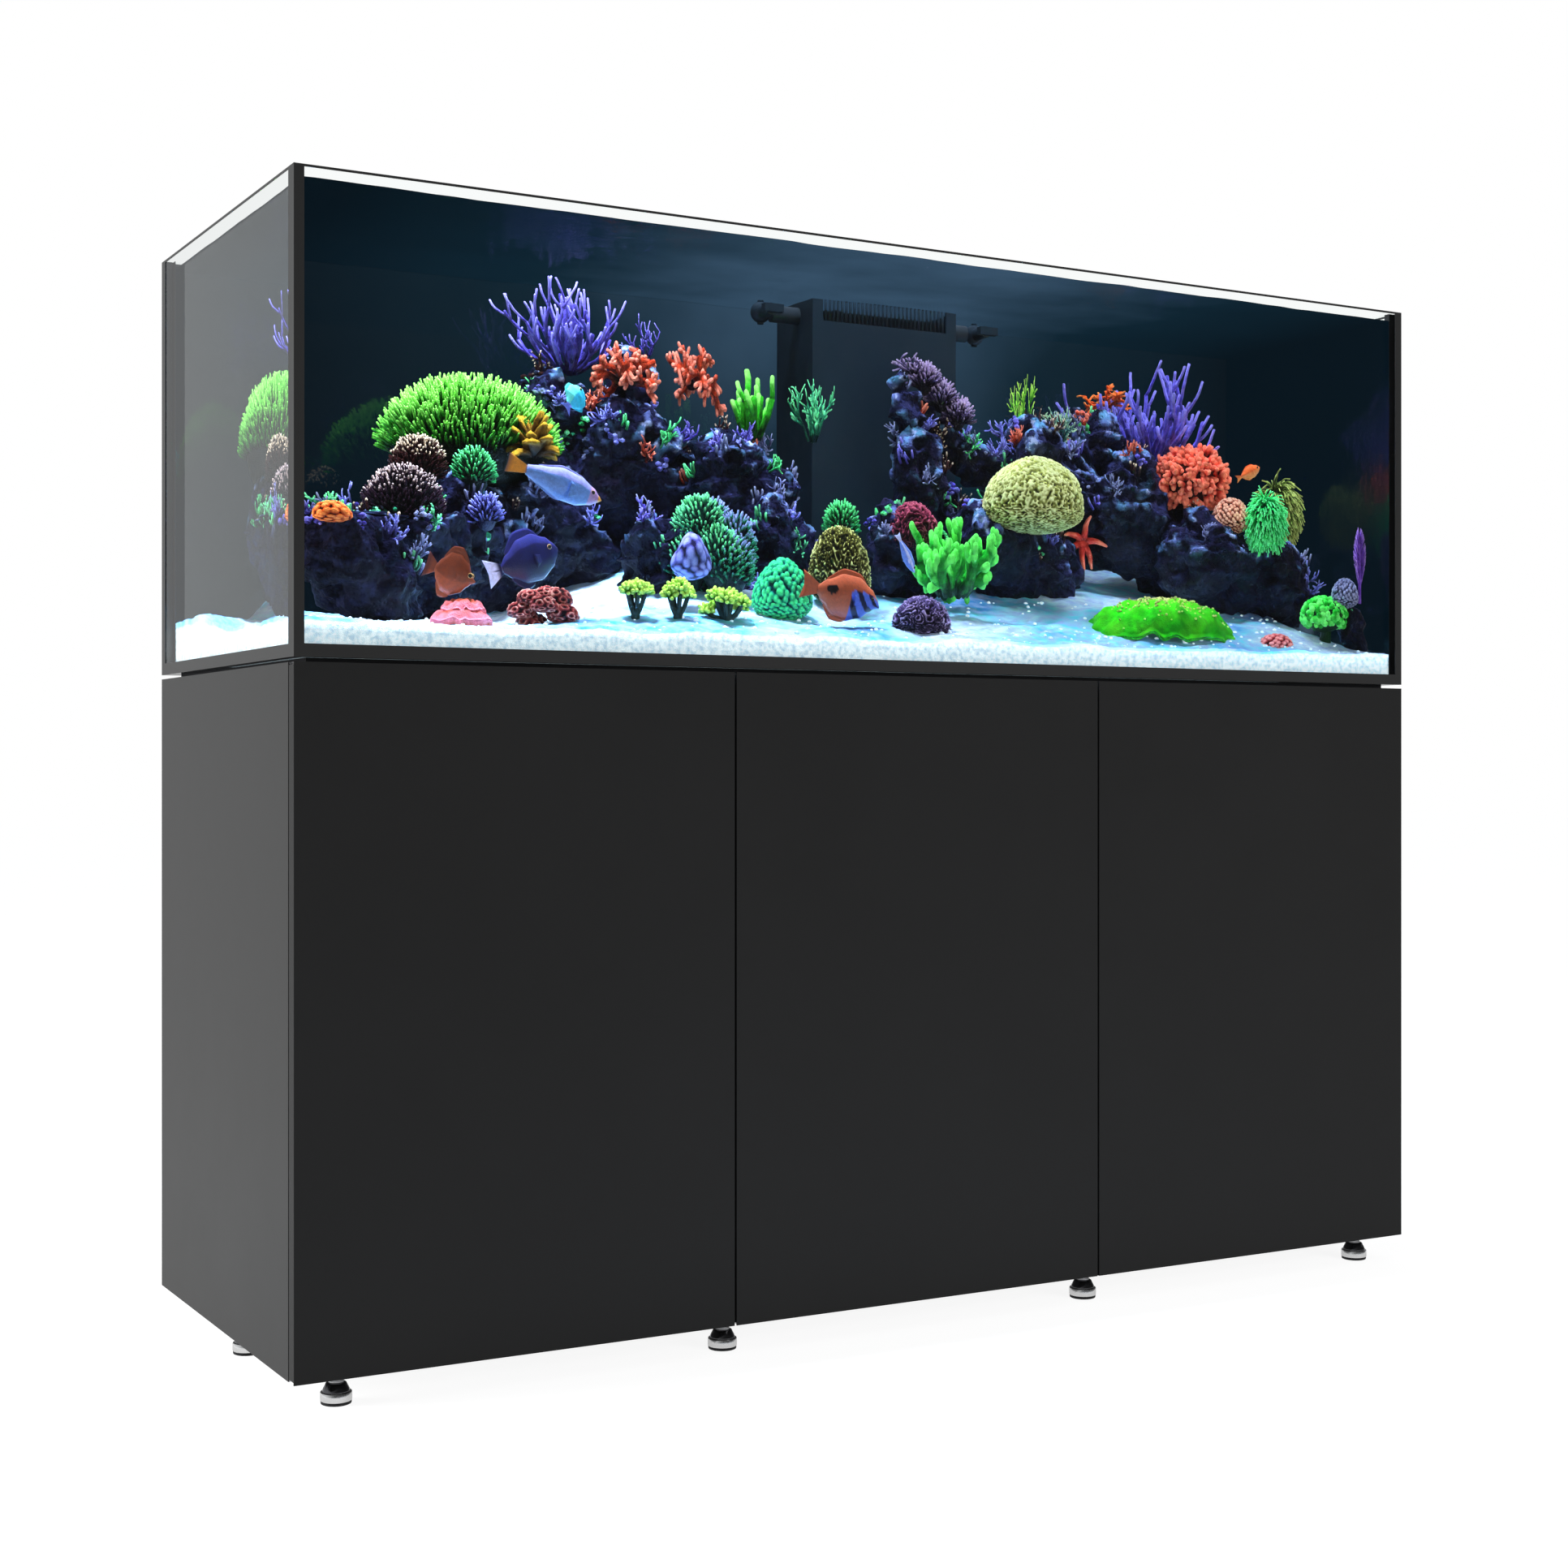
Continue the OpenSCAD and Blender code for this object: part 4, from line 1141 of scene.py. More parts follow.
def tuft(rng, box, count, length, radius, droop, pull=(0, 0, 0)):
    """Long thin tentacles that hang from a rounded body."""
    centre = at_share(box, 0.5)
    radii = (box[1] - box[0]) / 2 - length * np.array([0.75, 0.75, 0.5])
    shape = Shape()
    lump(shape, centre, radii * 0.96, rng, 4, 0.08, tips=0.0)
    for d in spread_points(count, rng, -0.75, 0.9):
        start = centre + d * radii * 0.9
        size = length * rng.uniform(0.7, 1.2)
        heading = unit(d + rng.normal(0, 0.15, 3) + pull)
        path = [start]
        for _ in range(4):
            heading = unit(heading + np.array([0, 0, -droop * 0.4]) + rng.normal(0, 0.1, 3))
            path.append(path[-1] + heading * size / 4)
        tube(shape, path, radius * np.array([1.1, 1.0, 0.9, 0.8, 0.8]), 6, np.linspace(0.0, 1.0, 5))
    return shape


def bubbles(rng, box, count, size):
    """A head of swollen round vesicles on a leaning stalk."""
    foot, middle = at_share(box), at_share(box, 0.6)
    radii = (box[1] - box[0]) * [0.5, 0.5, 0.4] - size
    shape = Shape()
    tube(shape, [foot, (foot + middle) / 2 + [0.004, 0, 0], middle], [0.012, 0.009, 0.014], 12, 0.0)
    lump(shape, middle, radii, rng, 3, 0.1, tips=0.1)
    for d in spread_points(count, rng, -0.6, 0.9):
        lump(shape, middle + d * radii, np.full(3, size * rng.uniform(0.6, 1.1)), rng, 2, 0.15,
             tips=rng.uniform(0.45, 1.0))
    return shape


def frilled(rng, box, count, size):
    """A mound of crowded fleshy frills."""
    middle = at_share(box, 0.5)
    radii = (box[1] - box[0]) / 2 - size * 1.1
    shape = Shape()
    lump(shape, middle, radii * 0.9, rng, 3, 0.3, tips=0.1)
    for d in spread_points(count, rng, -0.8, 1.0):
        at = middle + d * radii * rng.uniform(0.8, 1.08)
        for _ in range(3):
            heading = unit(d + rng.normal(0, 0.7, 3))
            reach = size * rng.uniform(0.8, 1.5)
            tube(shape, [at - heading * reach * 0.3, at + heading * reach * 0.4, at + heading * reach],
                 size * np.array([0.34, 0.42, 0.30]) * rng.uniform(0.7, 1.2), 8, [0.2, 0.6, 1.0])
    return shape


def star(rng, at, arms, reach):
    """Soft arms that spread and hang from one point of the rock."""
    shape = Shape()
    lump(shape, at, (0.012, 0.008, 0.009), rng, 3, 0.3, tips=0.5)
    for k in range(arms):
        turn = 2 * math.pi * (k + 0.25) / arms
        heading = unit(np.array([math.cos(turn), -0.25, math.sin(turn) * 0.8]))
        path = [np.asarray(at, float)]
        for _ in range(5):
            heading = unit(heading + np.array([0, 0, -0.12]) + rng.normal(0, 0.12, 3))
            path.append(path[-1] + heading * reach / 5)
        tube(shape, path, [0.0062, 0.0058, 0.0052, 0.0044, 0.0034, 0.002], 9, np.linspace(0.3, 1.0, 6))
    return shape


def pen(rng, box):
    """A slender feathered stalk."""
    foot = at_share(box)
    wide, _, tall = (box[1] - box[0]) * [0.5, 0.5, 1]
    shape = Shape()
    tube(shape, [foot + [0, 0, tall * t] for t in (0, 0.3, 0.6, 1.0)],
         np.array([0.003, 0.0028, 0.002, 0.001]), 8, 0.6)
    for k in range(90):
        t = 0.22 + 0.76 * k / 90
        out = wide * 0.95 * math.sin(math.pi * (t - 0.15) / 0.88) ** 0.8
        turn = rng.uniform(-0.5, 0.5) + (math.pi if k % 2 else 0)
        start = foot + [0, 0, tall * t]
        side = np.array([math.cos(turn), math.sin(turn), 0.0])
        tube(shape, [start, start + side * out * 0.6 + [0, 0, 0.006], start + side * out + [0, 0, 0.016]],
             np.array([0.0012, 0.001, 0.0007]), 5, np.array([0.3, 0.6, 1.0]))
    return shape


FAN = Growth(lift=0.16, wander=0.08, taper=0.85, children=2, angle=(0.3, 0.65), shrink=0.78, sides=8, steps=7)
STUB = Growth(lift=0.0, wander=0.2, taper=0.9, children=3, angle=(0.7, 1.3), shrink=0.62, sides=10)
FINGER = Growth(lift=0.3, wander=0.12, taper=0.85, children=2, angle=(0.3, 0.7), shrink=0.6, sides=8)
TWIG = Growth(lift=0.15, wander=0.22, taper=0.75, children=4, angle=(0.5, 1.1), shrink=0.62, sides=6, steps=5)
HAND = Growth(lift=0.1, wander=0.14, taper=0.95, children=4, angle=(0.5, 1.1), shrink=0.6, sides=10)


def rock_front(x, z):
    """The rock's foremost point near a place on the front view."""
    points, _ = rock_skin()
    near = points[np.argsort(np.hypot(points[:, 0] - x, points[:, 2] - z))[:60]]
    return near[near[:, 1].argmin()]


# Branching corals by kind: palette, growth and the plan of a colony
BRANCHED = {
    "red": ("red_orange", STUB, dict(trunks=9, length=0.05, radius=0.0062, levels=2, tilt=(0.2, 1.5),
                                     foot=0.018)),
    "finger": ("neon_green", FINGER, dict(trunks=11, length=0.055, radius=0.0056, levels=1, tilt=(0, 0.95),
                                          foot=0.015)),
    "teal": ("teal_green", TWIG, dict(trunks=6, length=0.06, radius=0.0036, levels=2, foot=0.02)),
    "brown": ("purple_brown", TWIG, dict(trunks=7, length=0.03, radius=0.0024, levels=1)),
    "yellow": ("tree_green", TWIG, dict(trunks=5, length=0.06, radius=0.0036, levels=2)),
    "mixed": ("mixed", TWIG, dict(trunks=9, length=0.04, radius=0.003, levels=2)),
    "orange": ("orange", STUB, dict(trunks=6, length=0.05, radius=0.0042, levels=2)),
}

# Rounded corals from left to right: name, palette, skin, and the count or width of its features
HEADS = [
    ("maroon_b", "lilac_tipped", "brush", 620), ("maroon_a", "cream_tipped", "brush", 460),
    ("green_small_a", "small_green", "brush", 170), ("lilac_small", "lilac", "brush", 120),
    ("ringed_red", "ringed_red", "rings", 9), ("lilac_lump", "lilac", "smooth", 60),
    ("corymb", "corymb", "corymb", 9), ("teal_brain", "teal_brain", "knobs", 190),
    ("gold_brain", "black_gold", "maze", 0.14), ("green_small_b", "small_green", "brush", 170),
    ("folded", "folded_purple", "maze", 0.17), ("maroon_wrinkled", "maroon", "maze", 0.18),
    ("cream_brain", "cream_brain", "valleys", 0.085), ("red_dome", "red_dome", "knobs", 60),
    ("honeycomb", "honeycomb", "knobs", 170), ("grey_lump", "grey", "knobs", 120),
]


def spur_colony(rng, box):
    """Three small brushes down the slope of a spur."""
    low, high = box
    shape = Shape()
    for along in (0.18, 0.5, 0.82):
        at = low + (high - low) * [along, 0.4, 0.98 - 0.62 * along]
        reach = np.array([0.025, 0.025, 0.022])
        shape.merge(brush(rng, (at - reach, at + reach), 170, 0.015, 0.0017, lowest=-0.3, base=0.3))
    return shape


def ringed(rng, box, count):
    """A low mound of cupped rings."""
    shape = Shape()
    for d in spread_points(count, rng, 0.0, 0.6):
        at = at_share(box) + d * [0.62, 0.5, 0.6] * (box[1] - box[0]) * [0.5, 0.5, 1]
        reach = np.array([0.022, 0.022, 0.019]) * rng.uniform(0.8, 1.15)
        shape.merge(dome(rng, (at - reach * [1, 1, 0.4], at + reach), "cups", 0.004, 4, count=26))
    return shape


def corymb(rng, box, count):
    """Brushy lobes round a foot, in two colours: the green left side and the rest."""
    size = box[1] - box[0]
    left, rest = Shape(), Shape()
    for d in spread_points(count, rng, 0.05, 0.5):
        at = at_share(box) + d * size * [0.28, 0.28, 0.55]
        reach = size * [0.26, 0.26, 0.3]
        lobe = brush(rng, (at - reach * [1, 1, 0.3], at + reach), 210, 0.011, 0.0017, lowest=-0.5)
        (left if d[0] < 0.1 else rest).merge(lobe)
    return left, rest


def polyps(rng, box, leaf):
    """Yellow polyps dotted over a plate's crown."""
    shape = Shape()
    points = read(leaf.data.vertices, "co", 3)
    upper = points[:len(points) // 2]
    x, y, _ = ((upper - at_share(box)) / ((box[1] - box[0]) / 2)).T
    rho = np.hypot(x, y)
    chosen = rng.choice(np.flatnonzero(rho < 0.93), 900, replace=False)
    for i in chosen[rho[chosen] < rng.uniform(0.35, 0.95, len(chosen))]:
        size = rng.uniform(0.0014, 0.0027)
        lump(shape, upper[i] + [0, 0, size * 0.4], (size, size, size * 0.8), rng, 1, 0.2,
             tips=rng.uniform(0.7, 1))
    return shape


def make_corals():
    """Builds every coral in the place and size of its own CAD solid."""
    rng = np.random.default_rng(77)
    first = {}

    def keep(name, palette, slot, shape, node):
        piece = shape.piece(name, tissue(palette), slot)
        first.setdefault(node, piece)
        return piece

    box = solids("table_coral")[0]
    keep("green_brush", "brush_green", "green_coral", brush(rng, box, 1700, 0.026, 0.0016, -0.12, 0.3),
         "table_coral")

    for k, box in enumerate(solids("staghorn_corals")):
        small = box[1][0] - box[0][0] < 0.1
        plan = dict(trunks=6 if small else 22, length=0.09, radius=0.004 if small else 0.0044, levels=2,
                    tilt=(0.1, 1.3), foot=0.012)
        shape = branched(rng, box, FAN, **plan)
        keep(f"staghorn_{k}", "violet", "violet_coral", shape, "staghorn_corals")

    kinds = "leaf red red finger teal brown purple yellow mixed orange cluster".split()
    for k, (kind, box) in enumerate(zip(kinds, solids("branch_corals"))):
        slot = "orange_coral"
        if kind == "leaf":
            slot, palette = "brown_coral", "golden"
            shape = leafy(rng, [corner - [0, 0.028, 0] for corner in box])
        elif kind == "purple":
            palette, shape = "purple_brown", spur_colony(rng, box)
        elif kind == "cluster":
            palette, shape = "red_cluster", frilled(rng, box, 210, 0.0125)
        else:
            palette, growth, plan = BRANCHED[kind]
            shape = branched(rng, box, growth, **plan)
        keep(f"branching_{k}_{kind}", palette, slot, shape, "branch_corals")

    boxes = sorted(solids("brain_corals"), key=lambda b: (b[0][0] + b[1][0]) / 2)
    for (name, palette, skin, amount), box in zip(HEADS, boxes):
        if skin == "brush":
            shape = brush(rng, box, amount, 0.011, 0.0014, -0.35, 0.25)
        elif skin == "rings":
            shape = ringed(rng, box, amount)
        elif skin == "corymb":
            green, shape = corymb(rng, box, amount)
            keep(name + "_green", "teal_green", "brown_coral", green, "brain_corals")
        elif skin == "smooth":
            shape = dome(rng, box, "knobs", 0.002, 5, count=amount, wobble=0.2)
        elif skin == "knobs":
            shape = dome(rng, box, "knobs", 0.006, 6, count=amount * 2)
        else:
            shape = dome(rng, box, skin, 0.0065, 6, wave=amount)
        keep(name, palette, "brown_coral", shape, "brain_corals")

    pink, green = solids("plate_corals")
    low, high = (corner + [0, 0, 0.006] for corner in pink)
    layers = plate((low, high - [0, 0, 0.012]), 5, 0.9, 0.1, 0.009)
    layers.merge(plate((low + [0.014, 0.01, 0.012], high - [0.008, 0.01, 0]), 4, 0.9, 0.2, 0.006))
    keep("pink_plate", "pink_plate", "orange_coral", layers, "plate_corals")
    leaf = plate(green, 9, 0.8, 0.1, rings=40, sides=360)
    leaf = keep("green_plate", "leaf_green", "yellow_green_coral", leaf, "plate_corals")
    keep("plate_polyps", "black_gold", "yellow_green_coral", polyps(rng, green, leaf), "plate_corals")

    def soft(name, palette, shape):
        keep(name, palette, "soft_coral", shape, "soft_corals")

    *trees, leather, anemone, bubble, tentacles, stalk = solids("soft_corals")
    for k, box in enumerate(trees):
        stem, crown = tree(rng, box)
        soft(f"tree_{k}_stem", "tree_stem", stem)
        soft(f"tree_{k}_crown", "tree_green", crown)
    plan = dict(trunks=10, length=0.045, radius=0.0078, levels=2, tilt=(0.1, 1.5), foot=0.03)
    soft("finger_leather", "leather_green", branched(rng, leather, HAND, **plan))
    soft("green_anemone", "anemone", tuft(rng, anemone, 900, 0.026, 0.0013, 1.0))
    soft("bubble_coral", "bubble_green", bubbles(rng, bubble, 210, 0.0062))
    soft("long_tentacles", "tentacle", tuft(rng, tentacles, 620, 0.036, 0.0013, 1.1, (0.5, 0, 0)))
    soft("sea_pen", "sea_pen", pen(rng, stalk))
    soft("hanging_star", "red_cluster", star(rng, rock_front(0.455, 1.13) - [0, 0.004, 0], 6, 0.045))
    at = rock_front(-0.83, 1.085)
    soft("orange_sponge", "orange",
         dome(rng, (at - [0.026, 0.02, 0.008], at + [0.026, 0.02, 0.02]), "knobs", 0.003, 5, count=60))
    for node, piece in first.items():
        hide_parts(node)


def make_crust():
    """Small colonies scattered over the lit faces of the rock."""
    rng = np.random.default_rng(9)
    kinds = [("violet", "violet", 30), ("teal", "teal_green", 34), ("lilac", "lilac", 60),
             ("cream", "cream_tipped", 40), ("green", "small_green", 30), ("red", "red_orange", 16),
             ("grey", "grey", 60)]
    points, normals = rock_skin()
    forward = (normals[:, 1] < 0.1) | (normals[:, 2] > 0.6)
    lit = np.flatnonzero((normals[:, 2] > -0.1) & forward & (points[:, 2] > 1.0))
    for colour, palette, count in kinds:
        shape = Shape()
        for i in rng.choice(lit, count, replace=False):
            at, out = points[i], unit(normals[i] + [0, 0, 0.3])
            style = rng.integers(3)
            if style == 0:
                for _ in range(rng.integers(8, 16)):
                    size = rng.uniform(0.0025, 0.0055)
                    lump(shape, at + rng.normal(0, 0.009, 3) * (1 - np.abs(out) * 0.6),
                         (size, size, size * 0.8), rng, 1, 0.3, tips=rng.uniform(0.3, 1))
            else:
                growth = TWIG if style == 1 else FINGER
                for _ in range(rng.integers(5, 10)):
                    start = at + rng.normal(0, 0.005, 3) - out * 0.004
                    heading = out + rng.normal(0, 0.45, 3)
                    length, radius = rng.uniform(0.012, 0.024), rng.uniform(0.0014, 0.0024)
                    grow(shape, rng, growth, start, heading, length, radius, 1 if style == 1 else 0, 0.3)
        shape.piece("crust_" + colour, tissue(palette), "live_rock")


# ---- Fish ----

def skin_material():
    """Fish scales: the painted pattern, with darker clouds, a thin wet coat and a faint painted glow."""
    t = Tree("fish_scales")
    dark = t.ramp(t.noise(240, 3), (0.35, 0.25), (0.65, 0.0))
    colour = t.mix(dark, t.attribute("paint", "Color"), (0.02, 0.02, 0.03))
    return t.surface(Base_Color=colour, Roughness=0.3, Emission_Color=colour, Emission_Strength=0.06,
                     Coat_Weight=0.3, Normal=t.bump(t.cells(520), 0.0006, 0.4))


def painted(base, *marks):
    """A fish's pattern: a colour, and more colours where their tests of (u, v) hold.

    u runs from the tail at 0 to the nose at 1, and v from the belly at -1 to the back at 1."""
    def paint(u, v):
        colour = np.tile(rgb(base), (len(u), 1))
        for test, code in marks:
            colour = np.where(test(u, v)[:, None], rgb(code), colour)
        return colour
    return paint


def at_rear(u, v):
    return (u > 0.60) & (v < 0.3 + (u - 0.6))


def striped(u, v):
    return at_rear(u, v) & (np.sin((u * 2.2 + v * 0.35) * 16) > 0.2)


BUTTERFLY = painted("7c3a24", (lambda u, v: v < -0.3, "96482c"), (lambda u, v: u < 0.1, "5a2a24"))
TANG = painted("1a1a44", (lambda u, v: v > 0.6, "2a2a66"), (lambda u, v: u < 0.13, "d8d4f0"))
WRASSE = painted("6488c8", (lambda u, v: v > 0.35, "8c8cc8"), (lambda u, v: u > 0.86, "a884b8"),
                 (lambda u, v: (u > 0.95) | (u < 0.2), "d88a30"), (lambda u, v: u < 0.05, "3a2a30"))
CHROMIS = painted("35b4d8", (lambda u, v: v > 0.3, "6ae8e0"), (lambda u, v: u < 0.25, "6a78d8"))
SPOTTED = painted("a04c30", (lambda u, v: np.hypot(u - 0.36, (v - 0.2) * 0.22) < 0.07, "050508"),
                  (at_rear, "4a62c0"), (striped, "0c1030"))
SLIM = painted("6a86dc", (lambda u, v: np.abs(v) < 0.3, "c0c8f4"))
ANTHIAS = painted("e88a4a", (lambda u, v: v > 0, "d8602a"))

# Outlines as (place from tail to nose, share of the half height)
LONG = ((0.2, 0.34), (0.35, 0.62), (0.55, 1.0), (0.75, 0.92), (0.9, 0.55), (0.97, 0.2), (1.0, 0.03))
DEEP = ((0.2, 0.16), (0.27, 0.5), (0.42, 0.95), (0.6, 1.0), (0.78, 0.72), (0.88, 0.34), (0.94, 0.14),
        (1.0, 0.05))
OVAL = ((0.2, 0.16), (0.3, 0.5), (0.5, 0.95), (0.7, 1.0), (0.88, 0.66), (0.96, 0.32), (1.0, 0.06))

Fish = namedtuple("Fish", "name tall wide top bottom paint tilt turn fork fin eye")

# Half height, half width, lines of back and belly, pattern, pitch and yaw in radians, depth of the
# tail's fork, height of the fins and size of the eye; lengths are shares of the fish's own length
FISH = [
    Fish("butterfly_brown", 0.40, 0.09, DEEP, DEEP, BUTTERFLY, -0.35, -0.5, 0.1, 0.32, 0.05),
    Fish("tang", 0.27, 0.07, OVAL, OVAL, TANG, 0.35, 0.15, 0.25, 0.35, 0.03),
    Fish("wrasse", 0.15, 0.09, LONG, LONG, WRASSE, -0.30, 0.0, 0.05, 0.12, 0.022),
    Fish("chromis", 0.42, 0.16, OVAL, OVAL, CHROMIS, 0.75, 0.3, 0.7, 0.25, 0.05),
    Fish("butterfly_spotted", 0.25, 0.09, OVAL, DEEP, SPOTTED, -0.22, 0.0, 0.35, 0.22, 0.02),
    Fish("slim", 0.13, 0.10, LONG, LONG, SLIM, -1.05, 0.0, 0.3, 0.1, 0.03),
    Fish("anthias", 0.19, 0.11, OVAL, OVAL, ANTHIAS, 0.42, 0.0, 0.6, 0.18, 0.04),
]


def outline(pairs, u):
    """Smooth curve through (place, share) pairs."""
    xs, ys = np.array(pairs).T
    t = np.interp(u, xs, np.arange(len(xs)))
    k = np.clip(t.astype(int), 0, len(xs) - 2)
    f = t - k
    f = f * f * (3 - 2 * f) * 0.5 + f * 0.5
    return ys[k] * (1 - f) + ys[k + 1] * f


def fin_sheet(shape, rim, root, paint, thick=0.004):
    """A thin fin between a root line and a rim line, with raised rays."""
    rows = 5  # of points, from root to rim
    t = np.linspace(0, 1, rows)[:, None, None]
    sheet = root[None] * (1 - t) + rim[None] * t
    n = len(root)
    ray = thick * (0.6 + 0.4 * np.cos(np.arange(n) * math.pi))[None, :] * (1 - 0.7 * t[:, :, 0])
    front, back = sheet.copy(), sheet.copy()
    front[..., 1] -= ray
    back[..., 1] += ray
    quads = sheet_faces(n, rows)
    edge = rim_of(n, rows)
    wall = np.stack([edge, edge + rows * n, np.roll(edge, -1) + rows * n, np.roll(edge, -1)], axis=-1)
    points = np.vstack([front.reshape(-1, 3), back.reshape(-1, 3)])
    shape.add(points, np.vstack([quads, quads[:, ::-1] + rows * n, wall]),
              paint=paint(points[:, 0], points[:, 2] * 4))


def fish_body(shape, fish):
    """The body from tail root to nose, one unit long."""
    rings, sides = 64, 56
    u, angle = np.linspace(0.2, 1.0, rings), full_turn(sides)
    top, bottom = outline(fish.top, u) * fish.tall, outline(fish.bottom, u) * fish.tall
    side = outline(OVAL, u) ** 0.8 * fish.wide
    up = np.cos(angle)
    tall = np.where(up[None] > 0, top[:, None], bottom[:, None]) * up[None]
    body = coords(u[:, None], side[:, None] * np.sin(angle)[None], tall).reshape(-1, 3)
    points = np.vstack([body, [[0.2, 0, 0], [1.004, 0, 0]]])
    share = np.concatenate([np.tile(up, rings), [0, 0]])
    n = rings * sides
    tris = np.vstack([cap_faces(0, sides, n, False), cap_faces(n - sides, sides, n + 1, True)])
    shape.add(points, ring_faces(rings, sides)[:, ::-1], tris, paint=fish.paint(points[:, 0], share))


def fish_fins(shape, fish):
    """Tail, back and belly fins, and the two side fins."""
    z = np.linspace(-1, 1, 15)
    root = coords(0.235, 0, z * fish.tall * 0.17)
    rim = coords(fish.fork * 0.1 * (1 - np.abs(z) ** 1.3), 0, z * fish.tall * 0.62)
    fin_sheet(shape, rim, root, fish.paint)
    for sign, body_line, reach, end in ((1, fish.top, 1.0, 0.80), (-1, fish.bottom, 0.8, 0.6)):
        x = np.linspace(0.30, end, 21)
        base = outline(body_line, x) * fish.tall
        lift = fish.fin * fish.tall * reach * np.sin(np.linspace(0.12, math.pi, 21)) ** 0.55
        rim = coords(x - 0.05 * lift / fish.tall, 0, sign * (base + lift))
        fin_sheet(shape, rim, coords(x, 0, sign * base * 0.93), fish.paint)
    for sign in (-1, 1):
        spread = np.linspace(-0.5, 0.35, 9)
        root = coords(0.76, sign * fish.wide * 0.75, spread * 0.06 - 0.02)
        fin_sheet(shape, root + coords(-0.13, sign * 0.05, spread * 0.12), root, fish.paint, 0.002)


def fish_eyes(shape, fish):
    """Dark pupils in pale rings."""
    ball, faces = BALLS[3]
    out = float(outline(OVAL, 0.885)) ** 0.8 * fish.wide * 0.88
    ring = np.abs(ball[:, 1]) < 0.55
    for sign in (-1, 1):
        shape.add(ball * [fish.eye, fish.eye * 0.5, fish.eye] + [0.885, sign * out, 0.22 * fish.tall],
                  tris=faces, paint=np.where(ring[:, None], rgb("c8a060"), rgb("030304")))


def spun(points, angle, first, second):
    """Turns points in the plane of two axes."""
    c, s = math.cos(angle), math.sin(angle)
    turned = points.copy()
    turned[:, first] = points[:, first] * c - points[:, second] * s
    turned[:, second] = points[:, first] * s + points[:, second] * c
    return turned


def make_fish():
    """Every fish in the place and length of its own CAD solid."""
    material = skin_material()
    boxes = sorted(solids("fish"), key=lambda b: (b[0][0] + b[1][0]) / 2)
    for fish, (low, high) in zip(FISH, boxes):
        shape = Shape()
        fish_body(shape, fish)
        fish_fins(shape, fish)
        fish_eyes(shape, fish)
        p = shape.all_points() - [0.55, 0, 0]
        p[:, 1] += 0.03 * np.sin(p[:, 0] * 4)
        p = spun(spun(p, fish.tilt, 0, 2), fish.turn, 0, 1)
        shape.place(p * (high[0] - low[0]) / 0.96 + (low + high) / 2)
        shape.piece("fish_" + fish.name, material, "fish_skin")
    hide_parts("fish")


# ---- Levelling feet ----

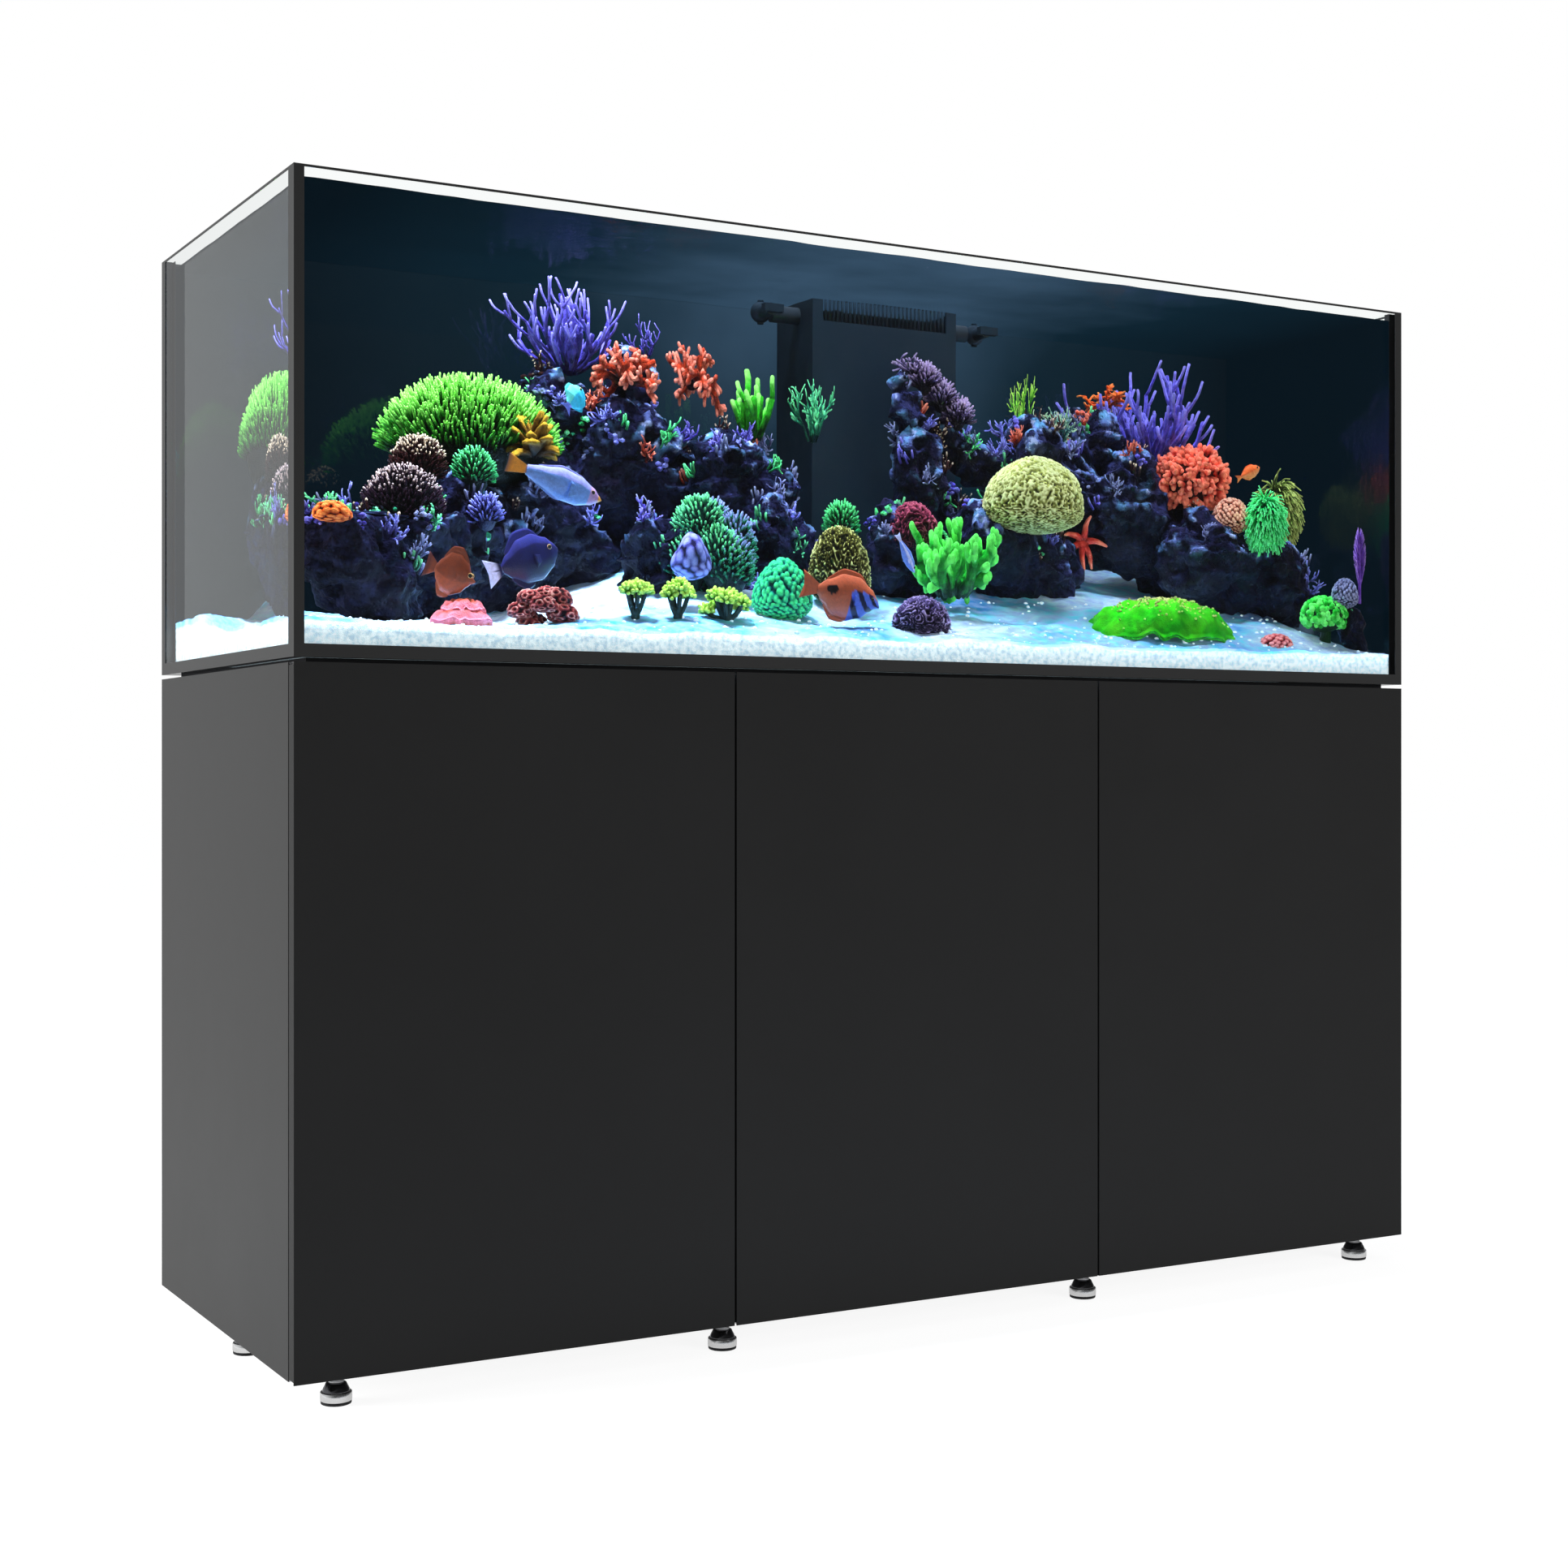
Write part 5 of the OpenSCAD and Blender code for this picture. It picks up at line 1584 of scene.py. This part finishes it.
def make_feet():
    """Rubber pad, bright band, dark cone, threaded stem and lock nut on each foot."""
    rubber = moulded("foot_rubber", (0.006, 0.006, 0.007), 0.6)
    bright = moulded("bright_nickel", (0.95, 0.95, 0.95), 0.2, 900, 1.0)
    smoked = moulded("smoked_chrome", (0.16, 0.16, 0.17), 0.16, 900, 1.0)
    zinc = moulded("zinc_stem", (0.8, 0.8, 0.82), 0.3, 600, 0.5)
    for name in sorted(n for n in NODES if n.startswith("foot_") and n != "foot_inserts"):
        low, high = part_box(name)
        middle = ((low.x + high.x) / 2, (low.y + high.y) / 2, 0)
        edge = (high.x - low.x) / 2
        top = high.z
        turns = int((top - 0.0295) / 0.00075)
        thread = [(0.0066 if k % 2 else 0.0058, 0.0285 + k * 0.00075) for k in range(turns)]
        parts = {
            "pad": (rubber, [(edge - 0.0022, 0.0), (edge - 0.0008, 0.0006), (edge - 0.0005, 0.0038)]),
            "band": (bright, [(edge - 0.001, 0.0039), (edge - 0.0003, 0.0044), (edge, 0.0055),
                              (edge, 0.0140), (edge - 0.0006, 0.0150), (edge - 0.0016, 0.0153)]),
            "cone": (smoked, [(edge - 0.0024, 0.0154), (edge - 0.0026, 0.0165), (edge - 0.0036, 0.0190),
                              (edge - 0.0062, 0.0240), (edge - 0.0070, 0.0256), (edge - 0.0085, 0.0263)]),
            "stem": (zinc, [(0.0085, 0.0264), (0.0095, 0.0268), (0.0095, 0.0280), (0.0072, 0.0284), *thread,
                            (0.005, top - 0.0004)]),
        }
        first = None
        for part, (material, profile) in parts.items():
            shape = Shape()
            lathe(shape, profile, middle, 48)
            piece = shape.piece(f"{name}_{part}", material, "foot_metal", name)
            first = first or piece
            bevelled(piece, 0.0002, 1, 50)
        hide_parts(name)


# ---- Weir, pipes and equipment ----

def make_details():
    """Comb teeth in the weir, pipe collars, the lip of the skimmer's cup and the pump's ribs."""
    weir_lo, weir_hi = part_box("overflow_box")
    teeth = Shape()
    first, last, foot, top = weir_lo.x + 0.0215, weir_hi.x - 0.0215, RIM - 0.0438, WATER_LEVEL + 0.0035
    for x in np.arange(first, last, 0.0072):
        block(teeth, (x, weir_lo.y + 0.0006, foot), (x + 0.0040, weir_lo.y + 0.0036, top))
    teeth.piece("weir_comb", FINISH["black"], "black_acrylic")

    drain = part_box("drain_pipe")
    column = ((drain[0].x + drain[1].x) / 2, weir_lo.y + 0.065, 0)
    collars = Shape()
    for z in (0.835, 0.70, 0.62):
        lathe(collars, [(0.0205, z - 0.014), (0.0245, z - 0.012), (0.0245, z + 0.012), (0.0205, z + 0.014)],
              column, 40)
    collars.piece("drain_collars", FINISH["pvc"], "grey_pvc")

    cup_lo, cup_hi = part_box("skimmer_cup")
    middle = ((cup_lo.x + cup_hi.x) / 2, (cup_lo.y + cup_hi.y) / 2, 0)
    edge, high = (cup_hi.x - cup_lo.x) / 2, cup_hi.z
    lip = Shape()
    lathe(lip, [(edge - 0.006, high - 0.010), (edge - 0.0004, high - 0.009), (edge - 0.0004, high - 0.003),
                (edge - 0.006, high - 0.0025)], middle, 64)
    lip.piece("cup_lip", FINISH["dark"], "pump_plastic", "skimmer_cup")

    pump_lo, pump_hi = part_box("return_pump")
    ribs = Shape()
    span = pump_hi.z - pump_lo.z
    for k in range(7):
        y = pump_lo.y + 0.02 + k * 0.012
        block(ribs, (pump_lo.x + 0.0004, y, pump_lo.z + span * 0.06),
              (pump_lo.x + 0.004, y + 0.005, pump_lo.z + span * 0.4))
    ribs.piece("pump_ribs", FINISH["dark"], "pump_plastic")


# ---- Build ----


make_camera()
make_world()
make_floor()
make_lights()
FINISH = dress_nodes()
make_water()
make_sand()
make_rocks()
make_corals()
make_crust()
make_fish()
make_feet()
make_details()
